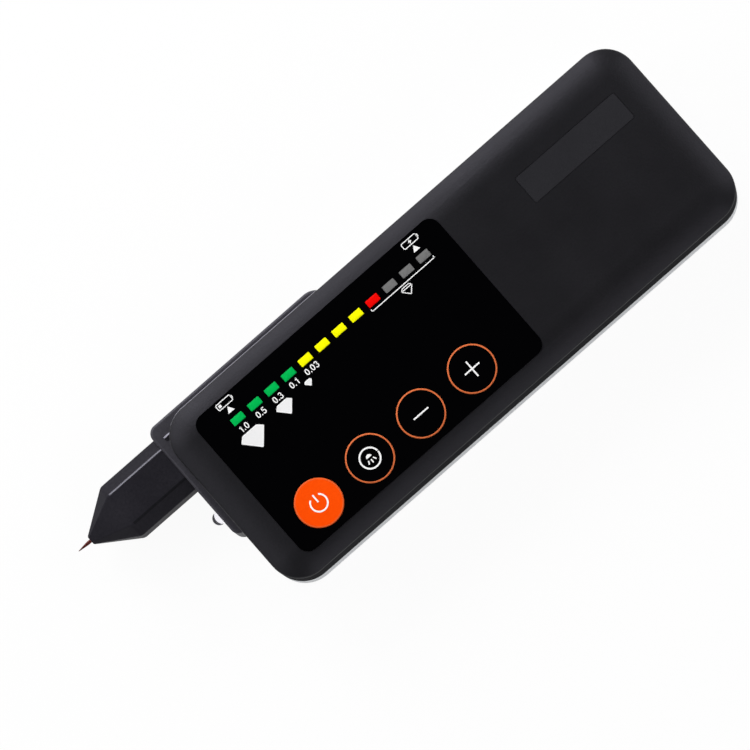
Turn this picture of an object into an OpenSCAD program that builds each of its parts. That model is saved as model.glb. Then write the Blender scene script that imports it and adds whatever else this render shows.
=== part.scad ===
// Handheld gem conductivity tester: a flat two-shell body with a glossy front
// panel, a probe housing on one front corner and a spring-loaded probe tip.
// +X runs to the charging end, +Y to the probe side, +Z out of the front face.
// The origin is the middle of the flat rear face.

/* [Body] */
// Length of the body
body_l = 126.6; // [115:0.2:140]
// Width of the body
body_w = 45; // [42:0.2:54]
// Thickness of the body, rear face to front face
body_h = 22; // [20:0.5:26]
// Corner radius of the body, seen from the front
corner_r = 7.2; // [6.5:0.1:9]
// Width of the crowned shoulder round the front face
shoulder_w = 7; // [4:0.1:7]
// Radius of the shoulder's crown
shoulder_r = 13.5; // [8:0.5:20]
// Rounding between the shoulder and the body's sides
shoulder_edge_r = 0.8; // [0.3:0.1:1.5]
// Radius between the front shell's ceiling and its inside walls
ceiling_r = 3.2; // [1:0.1:4]
// Height of the rear shell, from the rear face to the parting line
rear_h = 8.5; // [7.8:0.1:9.5]
// Edge radius of the rear shell
rear_edge_r = 1.5; // [0.5:0.1:2]
// Wall of both shells
wall = 1.8; // [1.4:0.1:2.2]
// Height of the lip that locates the two shells
lip_h = 1.2; // [0.6:0.1:2]
// Thickness of that lip
lip_t = 1; // [0.8:0.1:1.2]
// Gap between pieces that are fitted and stay put
fit_gap = 0.1; // [0.05:0.05:0.2]

/* [Front panel] */
// Length of the glossy panel
panel_l = 66.8; // [66:0.2:72]
// Distance from the body's long sides to the panel
panel_side = 4; // [4:0.1:5]
// Corner radius of the panel
panel_r = 2.6; // [2:0.1:7]
// Thickness of the panel
panel_t = 0.9; // [0.6:0.1:1.2]
// How far the panel stands above the front face
panel_proud = 0.05; // [0.05:0.05:0.2]
// Distance from the front end of the body to the panel
panel_margin = 6.85; // [6.5:0.05:8]
// Thickness of the adhesive film under the panel
adhesive_t = 0.15; // [0.1:0.05:0.3]
// Shell left under the panel pocket
ledge_t = 1; // [0.8:0.1:1.4]
// Length of the blank name label
label_l = 27.4; // [20:0.2:30]
// Width of the blank name label
label_w = 6.8; // [5:0.2:9]
// Thickness of the label
label_t = 0.3; // [0.2:0.05:0.5]
// Corner radius of the label
label_r = 0.4; // [0.2:0.1:1]
// Distance from the charging end to the middle of the label
label_x_inset = 21.1; // [19:0.1:24]
// Distance from the probe side to the middle of the label
label_y_inset = 13.5; // [12:0.1:17]

/* [Lights] */
// Pitch of the light windows
light_pitch = 4.7; // [4.4:0.02:4.8]
// Length of one window
light_l = 3.1; // [2.6:0.1:3.2]
// Width of one window
light_w = 1.7; // [1.4:0.1:2]
// From the front edge of the panel to the first window's middle
light_first = 8.1; // [7:0.1:8.5]
// From the probe-side edge of the panel to the middle of the row
light_row_inset = 5.7; // [5:0.1:6.5]
// Number of green windows, from the front
green_count = 4; // [2:1:4]
// Number of yellow windows after them
yellow_count = 4; // [2:1:4]
// Number of grey windows after the red one
grey_count = 3; // [1:1:3]
// Edge of one indicator chip
chip_light = 1.6; // [1:0.1:1.8]
// Height of one indicator chip
chip_light_h = 0.7; // [0.4:0.1:0.8]
// Wall of the light mask round the windows
mask_wall = 0.9; // [0.6:0.05:1]
// Width of the step that carries each window
mask_step = 0.3; // [0.2:0.05:0.4]
// Depth of each window inside the mask
mask_seat = 1.8; // [1.2:0.1:2.2]

/* [Buttons] */
// Radius of a button cap
button_r = 5.3; // [4.8:0.1:5.6]
// Pitch of the buttons
button_pitch = 14.2; // [13.8:0.1:14.6]
// From the front edge of the panel to the first button's middle
button_first = 9.3; // [8.8:0.1:10]
// From the far edge of the panel to the middle of the button row
button_row_inset = 6.7; // [6.5:0.05:7.5]
// Height of a cap above the panel
button_proud = 0.1; // [0.1:0.05:0.4]
// Rounding of a cap's top edge
button_edge_r = 0.25; // [0.1:0.05:0.4]
// Gap round a cap
button_gap = 0.15; // [0.1:0.05:0.3]
// Width of the flange that holds a cap in
flange_w = 0.9; // [0.6:0.1:1]
// Thickness of that flange
flange_t = 1; // [0.8:0.1:1.2]
// Play between that flange and the shell at rest
flange_gap = 0.05; // [0.05:0.01:0.1]
// Travel of a button
button_travel = 0.3; // [0.2:0.05:0.4]
// Edge of a key switch
switch_w = 6; // [5:0.1:6.2]
// Height of a key switch without its plunger
switch_h = 1.9; // [1.6:0.1:2.2]
// Radius of a switch plunger
plunger_r = 1.5; // [1:0.1:2]
// Height of a plunger above its switch
plunger_h = 0.65; // [0.5:0.05:0.9]
// Length of a plunger inside its switch
plunger_in = 1; // [0.6:0.1:1.2]

/* [Probe housing] */
// Length of the housing
housing_l = 48.1; // [45:0.1:50]
// Width of the housing
housing_w = 29.5; // [29:0.1:31]
// How far the housing stands out past the front end
housing_front_lip = 1.7; // [0.5:0.1:3]
// How far the housing stands out past the probe side
housing_side_lip = 1.8; // [0.5:0.1:2]
// Corner radius of the housing at the nose
housing_r = 2.1; // [1.5:0.1:3]
// Corner radius of the housing at its other end
housing_far_r = 4; // [3:0.1:6]
// Edge rounding of the housing
housing_edge_r = 0.6; // [0.3:0.1:1]
// Wall of the housing
housing_wall = 2; // [1.5:0.1:2.2]
// How far the housing's rim runs in under the front shell's edge
rim_cover = 1.2; // [1:0.1:1.6]
// Gap between the housing's rim and the circuit board
housing_board_gap = 0.5; // [0.3:0.1:1]
// From the housing's probe side to the small rib on its front corner
rib_inset = 3.5; // [2.5:0.1:3.5]
// Length of that rib, which ends at the front shell's corner
rib_l = 1.4; // [1:0.1:1.6]
// Width and height of the rib
rib_w = 0.3; // [0.2:0.05:0.5]

/* [Probe] */
// From the housing's probe side to the probe's axis
nose_inset = 8.8; // [8.5:0.1:9.5]
// Width of the nose
nose_w = 13.6; // [12:0.2:14.6]
// Material between the nose and the housing's top and bottom faces
nose_margin = 0.55; // [0.4:0.05:1]
// Chamfer along the nose
nose_chamfer = 2.8; // [2:0.1:3.6]
// Straight length of the nose
nose_straight = 15; // [12:0.2:18]
// Length of the taper
nose_taper = 9; // [8:0.1:11]
// Width of the flat at the end of the taper
nose_flat = 2; // [1.8:0.1:3]
// Radius of the spigot behind the nose
spigot_r = 4.2; // [4:0.1:4.5]
// Length of the spigot behind its ring nut
spigot_spare = 1.3; // [0.5:0.1:2]
// Thickness of the ring nut on the spigot
nut_t = 2; // [1.5:0.1:2.5]
// Wall of the ring nut
nut_wall = 0.8; // [0.6:0.1:1]
// Outer radius of the brass guide tube
guide_r = 3; // [2.8:0.1:3.2]
// Wall of the guide tube
guide_wall = 0.75; // [0.6:0.05:0.9]
// How far the guide tube reaches into the taper
guide_in_taper = 4.4; // [2:0.2:4.8]
// Length of the guide tube behind the spigot
guide_spare = 2; // [1:0.1:3]
// Running gap of the probe's carrier in the tube
slide_gap = 0.05; // [0.02:0.01:0.1]
// Length of the carrier
carrier_l = 10.8; // [9:0.2:12]
// Front wall of the carrier
carrier_front = 2.8; // [2:0.1:4]
// Radius of the probe pin
pin_r = 0.4; // [0.3:0.05:0.6]
// Length of the pin outside the nose
pin_out = 3.4; // [3:0.1:5]
// Length of the pin's point
pin_point = 2.5; // [1:0.1:2.8]
// Radius of the blunt end of the point
pin_blunt = 0.08; // [0.05:0.01:0.2]
// Length of the pin behind the carrier's front wall
pin_tail = 2.6; // [2:0.1:4]
// Radius of the heater bead
heater_r = 1; // [0.8:0.05:1.2]
// Length of the heater bead
heater_l = 3; // [2:0.1:4]
// Mean radius of the spring
spring_r = 1.75; // [1.6:0.05:1.85]
// Wire radius of the spring
spring_wire_r = 0.2; // [0.15:0.01:0.25]
// Turns of the spring
spring_turns = 9; // [6:1:10]
// Length of the end cap's plug inside the tube
cap_plug = 3; // [2:0.1:4]
// Thickness of the end cap's head
cap_head = 1; // [0.8:0.1:1.5]
// Radius of the lead hole in the end cap
cap_hole_r = 0.9; // [0.8:0.1:1.2]
// Radius of a probe lead
probe_lead_r = 0.35; // [0.25:0.05:0.38]
// Radius of the ultraviolet lamp
lamp_r = 1.5; // [1.5:0.1:2.5]
// From the probe's axis to the lamp's axis
lamp_pitch = 14.4; // [13.5:0.1:14.6]
// How far the lamp stands out of the housing
lamp_out = 1.9; // [1.6:0.1:3]
// Width of the lamp's flange
lamp_flange_w = 0.4; // [0.3:0.1:0.8]
// Radius of a lamp lead
lamp_lead_r = 0.25; // [0.2:0.05:0.3]
// Distance between the two lamp leads
lamp_lead_pitch = 1.8; // [1.4:0.1:2.5]
// Thickness of the lamp's flange
lamp_flange_t = 1; // [0.8:0.1:1.2]

/* [Circuit boards] */
// Length of the main board
board_l = 65; // [64:0.5:67]
// Distance from the panel's long sides to the main board
board_side = 1.5; // [0.5:0.1:2]
// Thickness of the main board
board_t = 1.6; // [1:0.2:1.6]
// From the front edge of the panel to the board
board_inset = 3.4; // [3.3:0.1:4]
// From the end of the board to its screws
board_screw_inset = 2.5; // [2.2:0.1:3]
// Radius of a board screw
board_screw_r = 0.95; // [0.8:0.05:1]
// Length of a board screw's shank
board_screw_l = 4; // [3:0.2:4.6]
// Radius of a board screw's head
board_screw_head_r = 1.8; // [1.6:0.1:2]
// Height of a board screw's head
board_screw_head_h = 1.2; // [0.8:0.1:1.3]
// Radius of a board post
board_post_r = 2; // [1.8:0.1:2.2]
// Edge of the controller chip
controller_w = 7; // [5:0.5:8]
// Height of the controller chip
controller_h = 1.2; // [0.8:0.1:1.6]
// Radius of the buzzer
buzzer_r = 4.5; // [4:0.1:5]
// Height of the buzzer
buzzer_h = 2.5; // [2:0.1:3]
// Radius of the hole in the buzzer's face
buzzer_hole_r = 1; // [0.5:0.1:1.5]
// From the probe housing to the middle of the chip and the buzzer
component_inset = 9; // [8:0.5:11]
// Length of a small component
passive_l = 1.6; // [1:0.1:2]
// Width and height of a small component
passive_w = 0.8; // [0.5:0.1:1.2]
// Pitch of the small components along the board
passive_pitch = 2.6; // [2.4:0.1:3]
// Small components in a row
passive_count = 5; // [2:1:5]
// Distance between the two rows of small components
passive_rows = 3; // [2:0.1:4]
// Length of the battery connector
connector_l = 6; // [5:0.5:7]
// Width of the battery connector
connector_w = 5; // [5:0.5:6]
// Height of the battery connector
connector_h = 3.5; // [3:0.1:3.8]
// Wall of the battery connector
connector_wall = 0.7; // [0.5:0.1:0.8]
// Depth of the battery connector's mouth
connector_mouth = 2; // [1:0.5:3]
// Length of the charge board
charge_l = 13; // [12:0.5:14]
// Width of the charge board
charge_w = 14; // [12:0.5:15]
// Thickness of the charge board
charge_t = 1; // [0.8:0.1:1.2]
// Length of the charge chip
charge_chip_l = 4.9; // [4:0.1:5]
// Width of the charge chip
charge_chip_w = 3.9; // [3:0.1:4]
// Height of the charge chip
charge_chip_h = 1.5; // [1:0.1:1.8]
// From the edges of the charge board to its chip
charge_chip_inset = 0.6; // [0.4:0.1:1]
// Height of the ribs under the charge board
charge_rib = 0.5; // [0.3:0.1:0.8]

/* [Charging socket] */
// From the probe side to the socket's axis
socket_inset = 15.5; // [15.4:0.1:18]
// Width of the socket's shell
socket_w = 8.94; // [8.94:0.01:9]
// Height of the socket's shell
socket_h = 3.2; // [3.16:0.02:3.26]
// Length of the socket's shell
socket_l = 7.35; // [6.5:0.05:8]
// Wall of the socket's shell
socket_wall = 0.3; // [0.2:0.05:0.32]
// Depth of the socket's mouth below the end of the body
socket_recess = 0.3; // [0.1:0.1:0.6]
// Width of the tongue
tongue_w = 6.69; // [6.5:0.01:6.8]
// Thickness of the tongue
tongue_t = 0.7; // [0.6:0.02:0.7]
// Length of the tongue in front of its base
tongue_l = 4.45; // [4:0.05:4.6]
// Depth of the tongue's end behind the mouth
tongue_recess = 0.6; // [0.4:0.1:0.9]

/* [Battery] */
// Gap between the probe housing and the cell
cell_front_gap = 8.1; // [2:0.1:12]
// From the charging end of the body to the cell
cell_x_inset = 23.5; // [22:0.5:26]
// From the button side of the body to the cell
cell_side_inset = 6.5; // [5:0.1:8]
// Gap between the cell and the screw boss beside it
cell_boss_gap = 1.2; // [0.6:0.1:3]
// Gap between the cell and the battery connector above it
cell_top_gap = 1.3; // [0.8:0.1:3]
// Edge rounding of the cell
cell_edge_r = 1.5; // [0.5:0.1:2]
// Thickness of the foam pad under the cell
pad_t = 0.6; // [0.4:0.1:1]
// Radius of an insulated lead
lead_r = 0.5; // [0.4:0.05:0.6]

/* [Case screws] */
// From the body's edges to a corner screw
screw_inset = 6.7; // [6.5:0.1:7]
// Radius of a case screw's shank
screw_r = 1.3; // [1:0.05:1.3]
// Length of a case screw's shank
screw_l = 13; // [12:0.5:14]
// Radius of a case screw's head
screw_head_r = 2.4; // [2.2:0.1:2.5]
// Height of a case screw's head
screw_head_h = 1.6; // [1.2:0.1:1.8]
// Depth of a head below the rear face
screw_sink = 0.6; // [0.3:0.1:1]
// Width of the cross slot in a head
slot_w = 0.6; // [0.4:0.1:0.8]
// Radius of the front shell's screw posts
post_r = 3; // [2.6:0.1:3]
// Radius of the rear bosses round the screws
boss_r = 3.6; // [3.4:0.1:3.6]

/* [Hidden] */
$fn = 64;
// Overrun of a cut past the face that it starts from
cut = 1;

// Levels, from the front face down
panel_top = body_h + panel_proud;
panel_z = panel_top - panel_t;
ledge_top = panel_z - adhesive_t;
ceiling = ledge_top - ledge_t;
button_top = panel_top + button_proud;
flange_top = ceiling - flange_gap;
flange_z = flange_top - flange_t;
board_top = flange_z - plunger_h - switch_h;
board_z = board_top - board_t;
housing_h = board_z - housing_board_gap;
floor_z = wall;

// Crowned shoulder: its width, no more than the corners leave, and where the middle of its
// small rounding lies, from the middle of the crown's arc
crown_w = min(shoulder_w, corner_r);
crown_out = crown_w - shoulder_edge_r;
crown_up = sqrt(pow(shoulder_r - shoulder_edge_r, 2) - pow(crown_out, 2));

// Places seen from the front
end_x = body_l / 2;
side_y = body_w / 2;
panel_x0 = -end_x + panel_margin;
panel_w = body_w - 2 * panel_side;
panel_mid = panel_x0 + panel_l / 2;
light_count = green_count + yellow_count + 1 + grey_count;
light_y = panel_w / 2 - light_row_inset;
button_y = -panel_w / 2 + button_row_inset;
label_y = side_y - label_y_inset;
board_x0 = panel_x0 + board_inset;
board_x1 = board_x0 + board_l;
board_w = panel_w - 2 * board_side;
housing_x0 = -end_x - housing_front_lip;
housing_x1 = housing_x0 + housing_l;
housing_y1 = side_y + housing_side_lip;
housing_y0 = housing_y1 - housing_w;
housing_inner_x = -end_x + rim_cover;
rib_y = housing_y1 - rib_inset;
rib_rise = rib_y - rib_w / 2 - side_y + corner_r;
rib_x1 = corner_r - end_x - sqrt(pow(corner_r + 2 * fit_gap, 2) - pow(rib_rise, 2));
probe_y = housing_y1 - nose_inset;
probe_z = housing_h / 2;
lamp_y = probe_y - lamp_pitch;
nose_h = housing_h - 2 * nose_margin;
nose_end = housing_x0 - nose_straight - nose_taper;
nose_bore_r = guide_r + slide_gap;
guide_front = housing_x0 - nose_straight - guide_in_taper;
guide_bore_r = guide_r - guide_wall;
spigot_end = housing_inner_x + nut_t + spigot_spare;
spigot_l = spigot_end - housing_x0;
nut_r = spigot_r + slide_gap + nut_wall;
guide_end = spigot_end + guide_spare;
carrier_x0 = guide_front + fit_gap;
carrier_x1 = carrier_x0 + carrier_l;
carrier_r = guide_bore_r - slide_gap;
cap_front = guide_end - cap_plug;
pin_bore_r = pin_r + slide_gap;
socket_y = side_y - socket_inset;
socket_z = floor_z + charge_rib + charge_t + socket_h / 2;
socket_x1 = end_x - socket_recess;
charge_top = floor_z + charge_rib + charge_t;
charge_x1 = end_x - wall - fit_gap;
charge_y1 = socket_y + socket_w / 2 + fit_gap;
cell_x0 = housing_x1 + cell_front_gap;
cell_x1 = end_x - cell_x_inset;
cell_y0 = -side_y + cell_side_inset;
cell_y1 = side_y - screw_inset - boss_r - cell_boss_gap;
cell_z = floor_z + pad_t;
cell_l = cell_x1 - cell_x0;
cell_w = cell_y1 - cell_y0;
cell_h = board_z - connector_h - cell_top_gap - cell_z;
screw_seat = screw_sink + screw_head_h;
screw_end = screw_seat + screw_l;
post_bore_end = screw_end + 4 * fit_gap;
boss_gap = 2 * fit_gap;

// Middle of the controller chip and the buzzer along the board
component_x = housing_x1 + component_inset;
// Middle of the row of connectors across the board
connector_y = light_y - light_row_inset;

// Routes of the leads as X and Z steps from where they start
probe_lead_steps = [[-1, 0], [1, 0], [3, 1], [4.5, 3.5], [5, 6], [5, board_z - probe_z]];
lamp_lead_steps = [[0, 0], [7.5, 0], [9, 0.5], [9.5, 2], [9.5, board_z - probe_z]];
// For the next two, Z is the share of the drop to the charge board or the climb from it
battery_lead_steps = [[0, 0], [3, 0], [6, 0.17], [8.5, 0.75], [10.5, 1], [12.5, 1]];
supply_lead_steps = [[0, 0], [0, 0.3], [-1, 0.7], [-3, 0.93], [-6, 1]];

// Case screws: three corners and one side of the rear shell, two in the housing
rear_screws = [
  [-end_x + screw_inset, -side_y + screw_inset],
  [end_x - screw_inset, -side_y + screw_inset],
  [end_x - screw_inset, side_y - screw_inset],
  [board_x1 + 2 * post_r, side_y - screw_inset]
];
housing_screws = [
  [board_x0 - post_r - 4 * fit_gap, (probe_y - guide_r + lamp_y + lamp_r) / 2],
  [housing_x1 - housing_wall - boss_r - cut, light_y + light_w / 2 + mask_wall + post_r + 3 * fit_gap]
];
board_screws = [
  [board_x0 + board_screw_inset + cut, lamp_y],
  [housing_x1 - housing_wall - 2 * boss_r, lamp_y],
  [board_x1 - board_screw_inset, light_y + cut],
  [board_x1 - board_screw_inset, button_y - 2 * cut]
];

function light_x(i) = panel_x0 + light_first + i * light_pitch;
function button_x(i) = panel_x0 + button_first + i * button_pitch;
function unit(v) = v / norm(v);

// Direction of a path at its point i, from the points on either side
function heading(path, i) = unit(path[min(i + 1, len(path) - 1)] - path[max(i - 1, 0)]);

// Ring of points round a path at its point i, square to the path
function ring(path, i, r, sides, across) =
  let (t = heading(path, i), u = unit(cross(across, t)), v = cross(t, u))
  [for (k = [0 : sides - 1]) path[i] + r * (cos(360 * k / sides) * u + sin(360 * k / sides) * v)];

// Round tube along a path; across is a direction that the path never takes
module tube(path, r, sides, across) {
  n = len(path);
  points = [for (i = [0 : n - 1]) each ring(path, i, r, sides, across)];
  walls = [for (i = [0 : n - 2], k = [0 : sides - 1], half = [0, 1])
    let (a = i * sides + k, b = i * sides + (k + 1) % sides)
    half == 0 ? [a, a + sides, b] : [b, a + sides, b + sides]];
  start = [for (k = [1 : sides - 2]) [0, k, k + 1]];
  last = (n - 1) * sides;
  finish = [for (k = [1 : sides - 2]) [last, last + k + 1, last + k]];
  polyhedron(points, concat(walls, start, finish));
}

// Flat rectangle with round corners, centred
module round_rect(l, w, r) {
  square([l - 2 * r, w], center = true);
  square([l, w - 2 * r], center = true);
  for (x = [-1, 1], y = [-1, 1])
    translate([x * (l / 2 - r), y * (w / 2 - r)])
      circle(r);
}

// What a rounded edge takes off the square corner at the origin, towards +X and +Y
module edge_waste(r) {
  if (r > 0)
    translate([-r, -r])
      difference() {
        square(r + cut);
        circle(r);
      }
}

// Upright section of width w whose top and bottom edges are rounded
module slab_section(w, h, top_r, bottom_r) {
  difference() {
    translate([-w / 2, 0])
      square([w, h]);
    for (side = [0, 1])
      mirror([side, 0])
        translate([w / 2, 0]) {
          translate([0, h])
            edge_waste(top_r);
          mirror([0, 1])
            edge_waste(bottom_r);
        }
  }
}

module half_section(w, h, top_r, bottom_r) {
  intersection() {
    slab_section(w, h, top_r, bottom_r);
    square([w, h]);
  }
}

// Slab with round corners and rounded top and bottom edges, standing on Z = 0;
// the corners are of radius r at its -X end and far_r at its +X end
module soft_slab(l, w, h, r, far_r, top_r, bottom_r) {
  translate([-(l / 2 - r), 0, 0])
    rotate([90, 0, 90])
      linear_extrude(l - r - far_r)
        slab_section(w, h, top_r, bottom_r);
  for (s = [0, 1])
    let (e = s == 0 ? far_r : r)
      mirror([s, 0, 0])
        translate([l / 2 - e, 0, 0]) {
          translate([0, w / 2 - e, 0])
            rotate([90, 0, 0])
              linear_extrude(w - 2 * e)
                half_section(2 * e, h, top_r, bottom_r);
          for (t = [0, 1])
            mirror([0, t, 0])
              translate([0, w / 2 - e, 0])
                rotate_extrude(angle = 90)
                  half_section(2 * e, h, top_r, bottom_r);
        }
}

// What the front shell's crowned shoulder takes off the square corner at the origin
module crown_waste() {
  turn = atan2(crown_up, crown_out);
  reach = 2 * shoulder_edge_r;
  translate([-crown_w, -shoulder_r]) {
    difference() {
      translate([0, shoulder_r - crown_w])
        square(crown_w + cut);
      circle(shoulder_r);
    }
    translate([crown_out, crown_up])
      difference() {
        polygon([[0, 0], [reach, 0], [reach, reach], reach * [cos(turn), sin(turn)]]);
        circle(shoulder_edge_r);
      }
  }
}

// Half of an upright section of half width w, crowned at its side
module crown_half(w, h) {
  difference() {
    square([w, h]);
    translate([w, h])
      crown_waste();
  }
}

// Slab with round corners and the crowned shoulder round its top, standing on Z = 0
module crown_slab(l, w, h, r) {
  for (s = [0, 1])
    mirror([0, s, 0])
      translate([r - l / 2, 0, 0])
        rotate([90, 0, 90])
          linear_extrude(l - 2 * r)
            crown_half(w / 2, h);
  for (s = [0, 1])
    mirror([s, 0, 0])
      translate([l / 2 - r, 0, 0]) {
        translate([0, w / 2 - r, 0])
          rotate([90, 0, 0])
            linear_extrude(w - 2 * r)
              crown_half(r, h);
        for (t = [0, 1])
          mirror([0, t, 0])
            translate([0, w / 2 - r, 0])
              rotate_extrude(angle = 90)
                crown_half(r, h);
      }
}

// Plain prism with round corners
module plate(l, w, h, r) {
  linear_extrude(h)
    round_rect(l, w, r);
}

// Cylinder along +X from the point given
module rod(x, y, z, l, r) {
  translate([x, y, z])
    rotate([0, 90, 0])
      cylinder(h = l, r = r);
}

// Puts its children on the housing's middle, seen from the front
module at_housing() {
  translate([(housing_x0 + housing_x1) / 2, (housing_y0 + housing_y1) / 2, 0])
    children();
}

// Space that the probe housing takes out of both shells
module housing_space() {
  at_housing()
    translate([0, 0, -cut])
      soft_slab(housing_l + 2 * fit_gap, housing_w + 2 * fit_gap, housing_h + fit_gap + cut,
        housing_r + fit_gap, housing_far_r + fit_gap, 0, 0);
}

// Puts its children at every light window, button or screw
module at_lights(first, last) {
  for (i = [first : last])
    translate([light_x(i), light_y, 0])
      children();
}

module at_buttons() {
  for (i = [0 : 3])
    translate([button_x(i), button_y, 0])
      children();
}

module at_points(points) {
  for (p = points)
    translate([p[0], p[1], 0])
      children();
}

// Centred block standing on z
module block(l, w, z, h) {
  translate([-l / 2, -w / 2, z])
    cube([l, w, h]);
}

// Holes for the lights and buttons through the panel, its film and the ledge
module panel_holes(button_clear, light_clear) {
  at_buttons()
    translate([0, 0, ceiling - cut])
      cylinder(h = body_h, r = button_r + button_clear);
  at_lights(0, light_count - 1)
    block(light_l + 2 * light_clear, light_w + 2 * light_clear, ceiling - cut, body_h);
}

// Clearance hole and sunk seat for a case screw's head
module screw_seat_cut() {
  translate([0, 0, -cut])
    cylinder(h = screw_seat + cut, r = screw_head_r + 2 * fit_gap);
  translate([0, 0, -cut])
    cylinder(h = body_h, r = screw_r + 2 * fit_gap);
}

module front_shell() {
  color("#1d1d1f")
    difference() {
      union() {
        difference() {
          translate([0, 0, rear_h])
            crown_slab(body_l, body_w, body_h - rear_h, corner_r);
          translate([0, 0, rear_h - cut])
            soft_slab(body_l - 2 * wall, body_w - 2 * wall, ceiling - rear_h + cut,
              corner_r - wall, corner_r - wall, ceiling_r, 0);
          housing_space();
        }
        at_points(concat(rear_screws, housing_screws))
          translate([0, 0, rear_h + boss_gap])
            cylinder(h = ceiling - rear_h - boss_gap + ledge_t / 2, r = post_r);
        at_points(board_screws)
          translate([0, 0, board_top])
            cylinder(h = ceiling - board_top + ledge_t / 2, r = board_post_r);
      }
      translate([panel_mid, 0, ledge_top])
        plate(panel_l + 2 * fit_gap, panel_w + 2 * fit_gap, body_h, panel_r + fit_gap);
      panel_holes(button_gap, fit_gap);
      translate([end_x - label_x_inset, label_y, body_h - label_t])
        plate(label_l + 2 * fit_gap, label_w + 2 * fit_gap, label_t + cut, label_r + fit_gap);
      at_points(concat(rear_screws, housing_screws))
        cylinder(h = post_bore_end, r = screw_r + slide_gap);
      at_points(board_screws)
        translate([0, 0, board_top - cut])
          cylinder(h = board_screw_l - board_t + cut + fit_gap, r = board_screw_r + slide_gap);
    }
}

// Lip inside the rear shell that locates the front shell
module locating_lip() {
  lip_out = wall + fit_gap;
  lip_in = wall + lip_t;
  difference() {
    union() {
      translate([0, 0, rear_h - lip_h])
        plate(body_l - 2 * wall, body_w - 2 * wall, lip_h, corner_r - wall);
      plate(body_l - 2 * lip_out, body_w - 2 * lip_out, rear_h + lip_h, corner_r - lip_out);
    }
    translate([0, 0, -cut])
      plate(body_l - 2 * lip_in, body_w - 2 * lip_in, body_h, corner_r - lip_in);
    translate([0, 0, -cut])
      plate(body_l, body_w, rear_h - lip_h + cut, corner_r);
  }
}

// Flat stadium along X, such as the socket's outline
module stadium_bar(x, l, w, h) {
  for (s = [-1, 1])
    rod(x, socket_y + s * (w - h) / 2, socket_z, l, h / 2);
  translate([x, socket_y - (w - h) / 2, socket_z - h / 2])
    cube([l, w - h, h]);
}

module rear_shell() {
  rib_y = [charge_y1 - charge_w, charge_y1 - wall];
  color("#d9dadc")
    difference() {
      union() {
        difference() {
          soft_slab(body_l, body_w, rear_h, corner_r, corner_r, 0, rear_edge_r);
          translate([0, 0, floor_z])
            plate(body_l - 2 * wall, body_w - 2 * wall, body_h, corner_r - wall);
        }
        locating_lip();
        at_points(rear_screws)
          translate([0, 0, floor_z / 2])
            cylinder(h = rear_h - floor_z / 2, r = boss_r);
        for (y = rib_y)
          translate([charge_x1 - charge_l, y, floor_z / 2])
            cube([charge_l, wall, floor_z / 2 + charge_rib]);
      }
      housing_space();
      at_points(rear_screws)
        screw_seat_cut();
      stadium_bar(charge_x1 - charge_l, charge_l + 2 * wall,
        socket_w + 2 * fit_gap, socket_h + 2 * fit_gap);
    }
}

module probe_housing() {
  color("#19191b")
    difference() {
      union() {
        difference() {
          at_housing()
            soft_slab(housing_l, housing_w, housing_h, housing_r, housing_far_r,
              housing_edge_r, housing_edge_r);
          translate([0, 0, housing_wall])
            linear_extrude(body_h)
              intersection() {
                round_rect(body_l - 2 * rim_cover, body_w - 2 * rim_cover, corner_r - rim_cover);
                at_housing()
                  round_rect(housing_l - 2 * housing_wall, housing_w - 2 * housing_wall, housing_r);
              }
        }
        at_points(housing_screws)
          translate([0, 0, housing_wall / 2])
            cylinder(h = rear_h - housing_wall / 2, r = boss_r);
        translate([rib_x1 - rib_l, rib_y - rib_w / 2, housing_h - rib_w])
          cube([rib_l, rib_w, 2 * rib_w]);
      }
      rod(housing_x0 - cut, probe_y, probe_z, spigot_l + cut, spigot_r + slide_gap);
      rod(housing_inner_x, probe_y, probe_z, corner_r, nut_r + fit_gap);
      rod(housing_x0 - cut, lamp_y, probe_z, spigot_l + cut, lamp_r + fit_gap);
      at_points(housing_screws)
        screw_seat_cut();
    }
}

module display_panel() {
  color("#050506")
    difference() {
      translate([panel_mid, 0, panel_z])
        plate(panel_l, panel_w, panel_t, panel_r);
      panel_holes(button_gap, fit_gap);
    }
}

module panel_adhesive() {
  color("#b8b6a8")
    difference() {
      translate([panel_mid, 0, ledge_top])
        plate(panel_l, panel_w, adhesive_t, panel_r);
      panel_holes(button_gap + fit_gap, 2 * fit_gap);
    }
}

module name_label() {
  color("#29292b")
    translate([end_x - label_x_inset, label_y, body_h - label_t])
      plate(label_l, label_w, label_t + panel_proud / 2, label_r);
}

// Outline of the nose: a rectangle with its four edges chamfered
module nose_outline() {
  y = nose_w / 2;
  z = nose_h / 2;
  c = nose_chamfer;
  polygon([[z, y - c], [z - c, y], [c - z, y], [-z, y - c],
    [-z, c - y], [c - z, -y], [z - c, -y], [z, c - y]]);
}

module nose_cone() {
  color("#1a1a1c")
    difference() {
      union() {
        translate([housing_x0, probe_y, probe_z])
          rotate([0, -90, 0])
            linear_extrude(nose_straight)
              nose_outline();
        translate([housing_x0 - nose_straight, probe_y, probe_z])
          rotate([0, -90, 0])
            linear_extrude(nose_taper, scale = nose_flat / nose_w)
              nose_outline();
        rod(housing_x0, probe_y, probe_z, spigot_l, spigot_r);
      }
      rod(guide_front, probe_y, probe_z, spigot_end - guide_front + cut, nose_bore_r);
      rod(nose_end - cut, probe_y, probe_z, guide_front - nose_end + 2 * cut, pin_r + fit_gap);
    }
}

module nose_ring_nut() {
  color("#8a8c90")
    difference() {
      rod(housing_inner_x, probe_y, probe_z, nut_t, nut_r);
      rod(housing_inner_x - cut, probe_y, probe_z, nut_t + 2 * cut, spigot_r + slide_gap);
    }
}

module probe_guide_tube() {
  color("#c9a14a")
    difference() {
      rod(guide_front, probe_y, probe_z, guide_end - guide_front, guide_r);
      rod(guide_front - cut, probe_y, probe_z, guide_end - guide_front + 2 * cut, guide_bore_r);
    }
}

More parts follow.
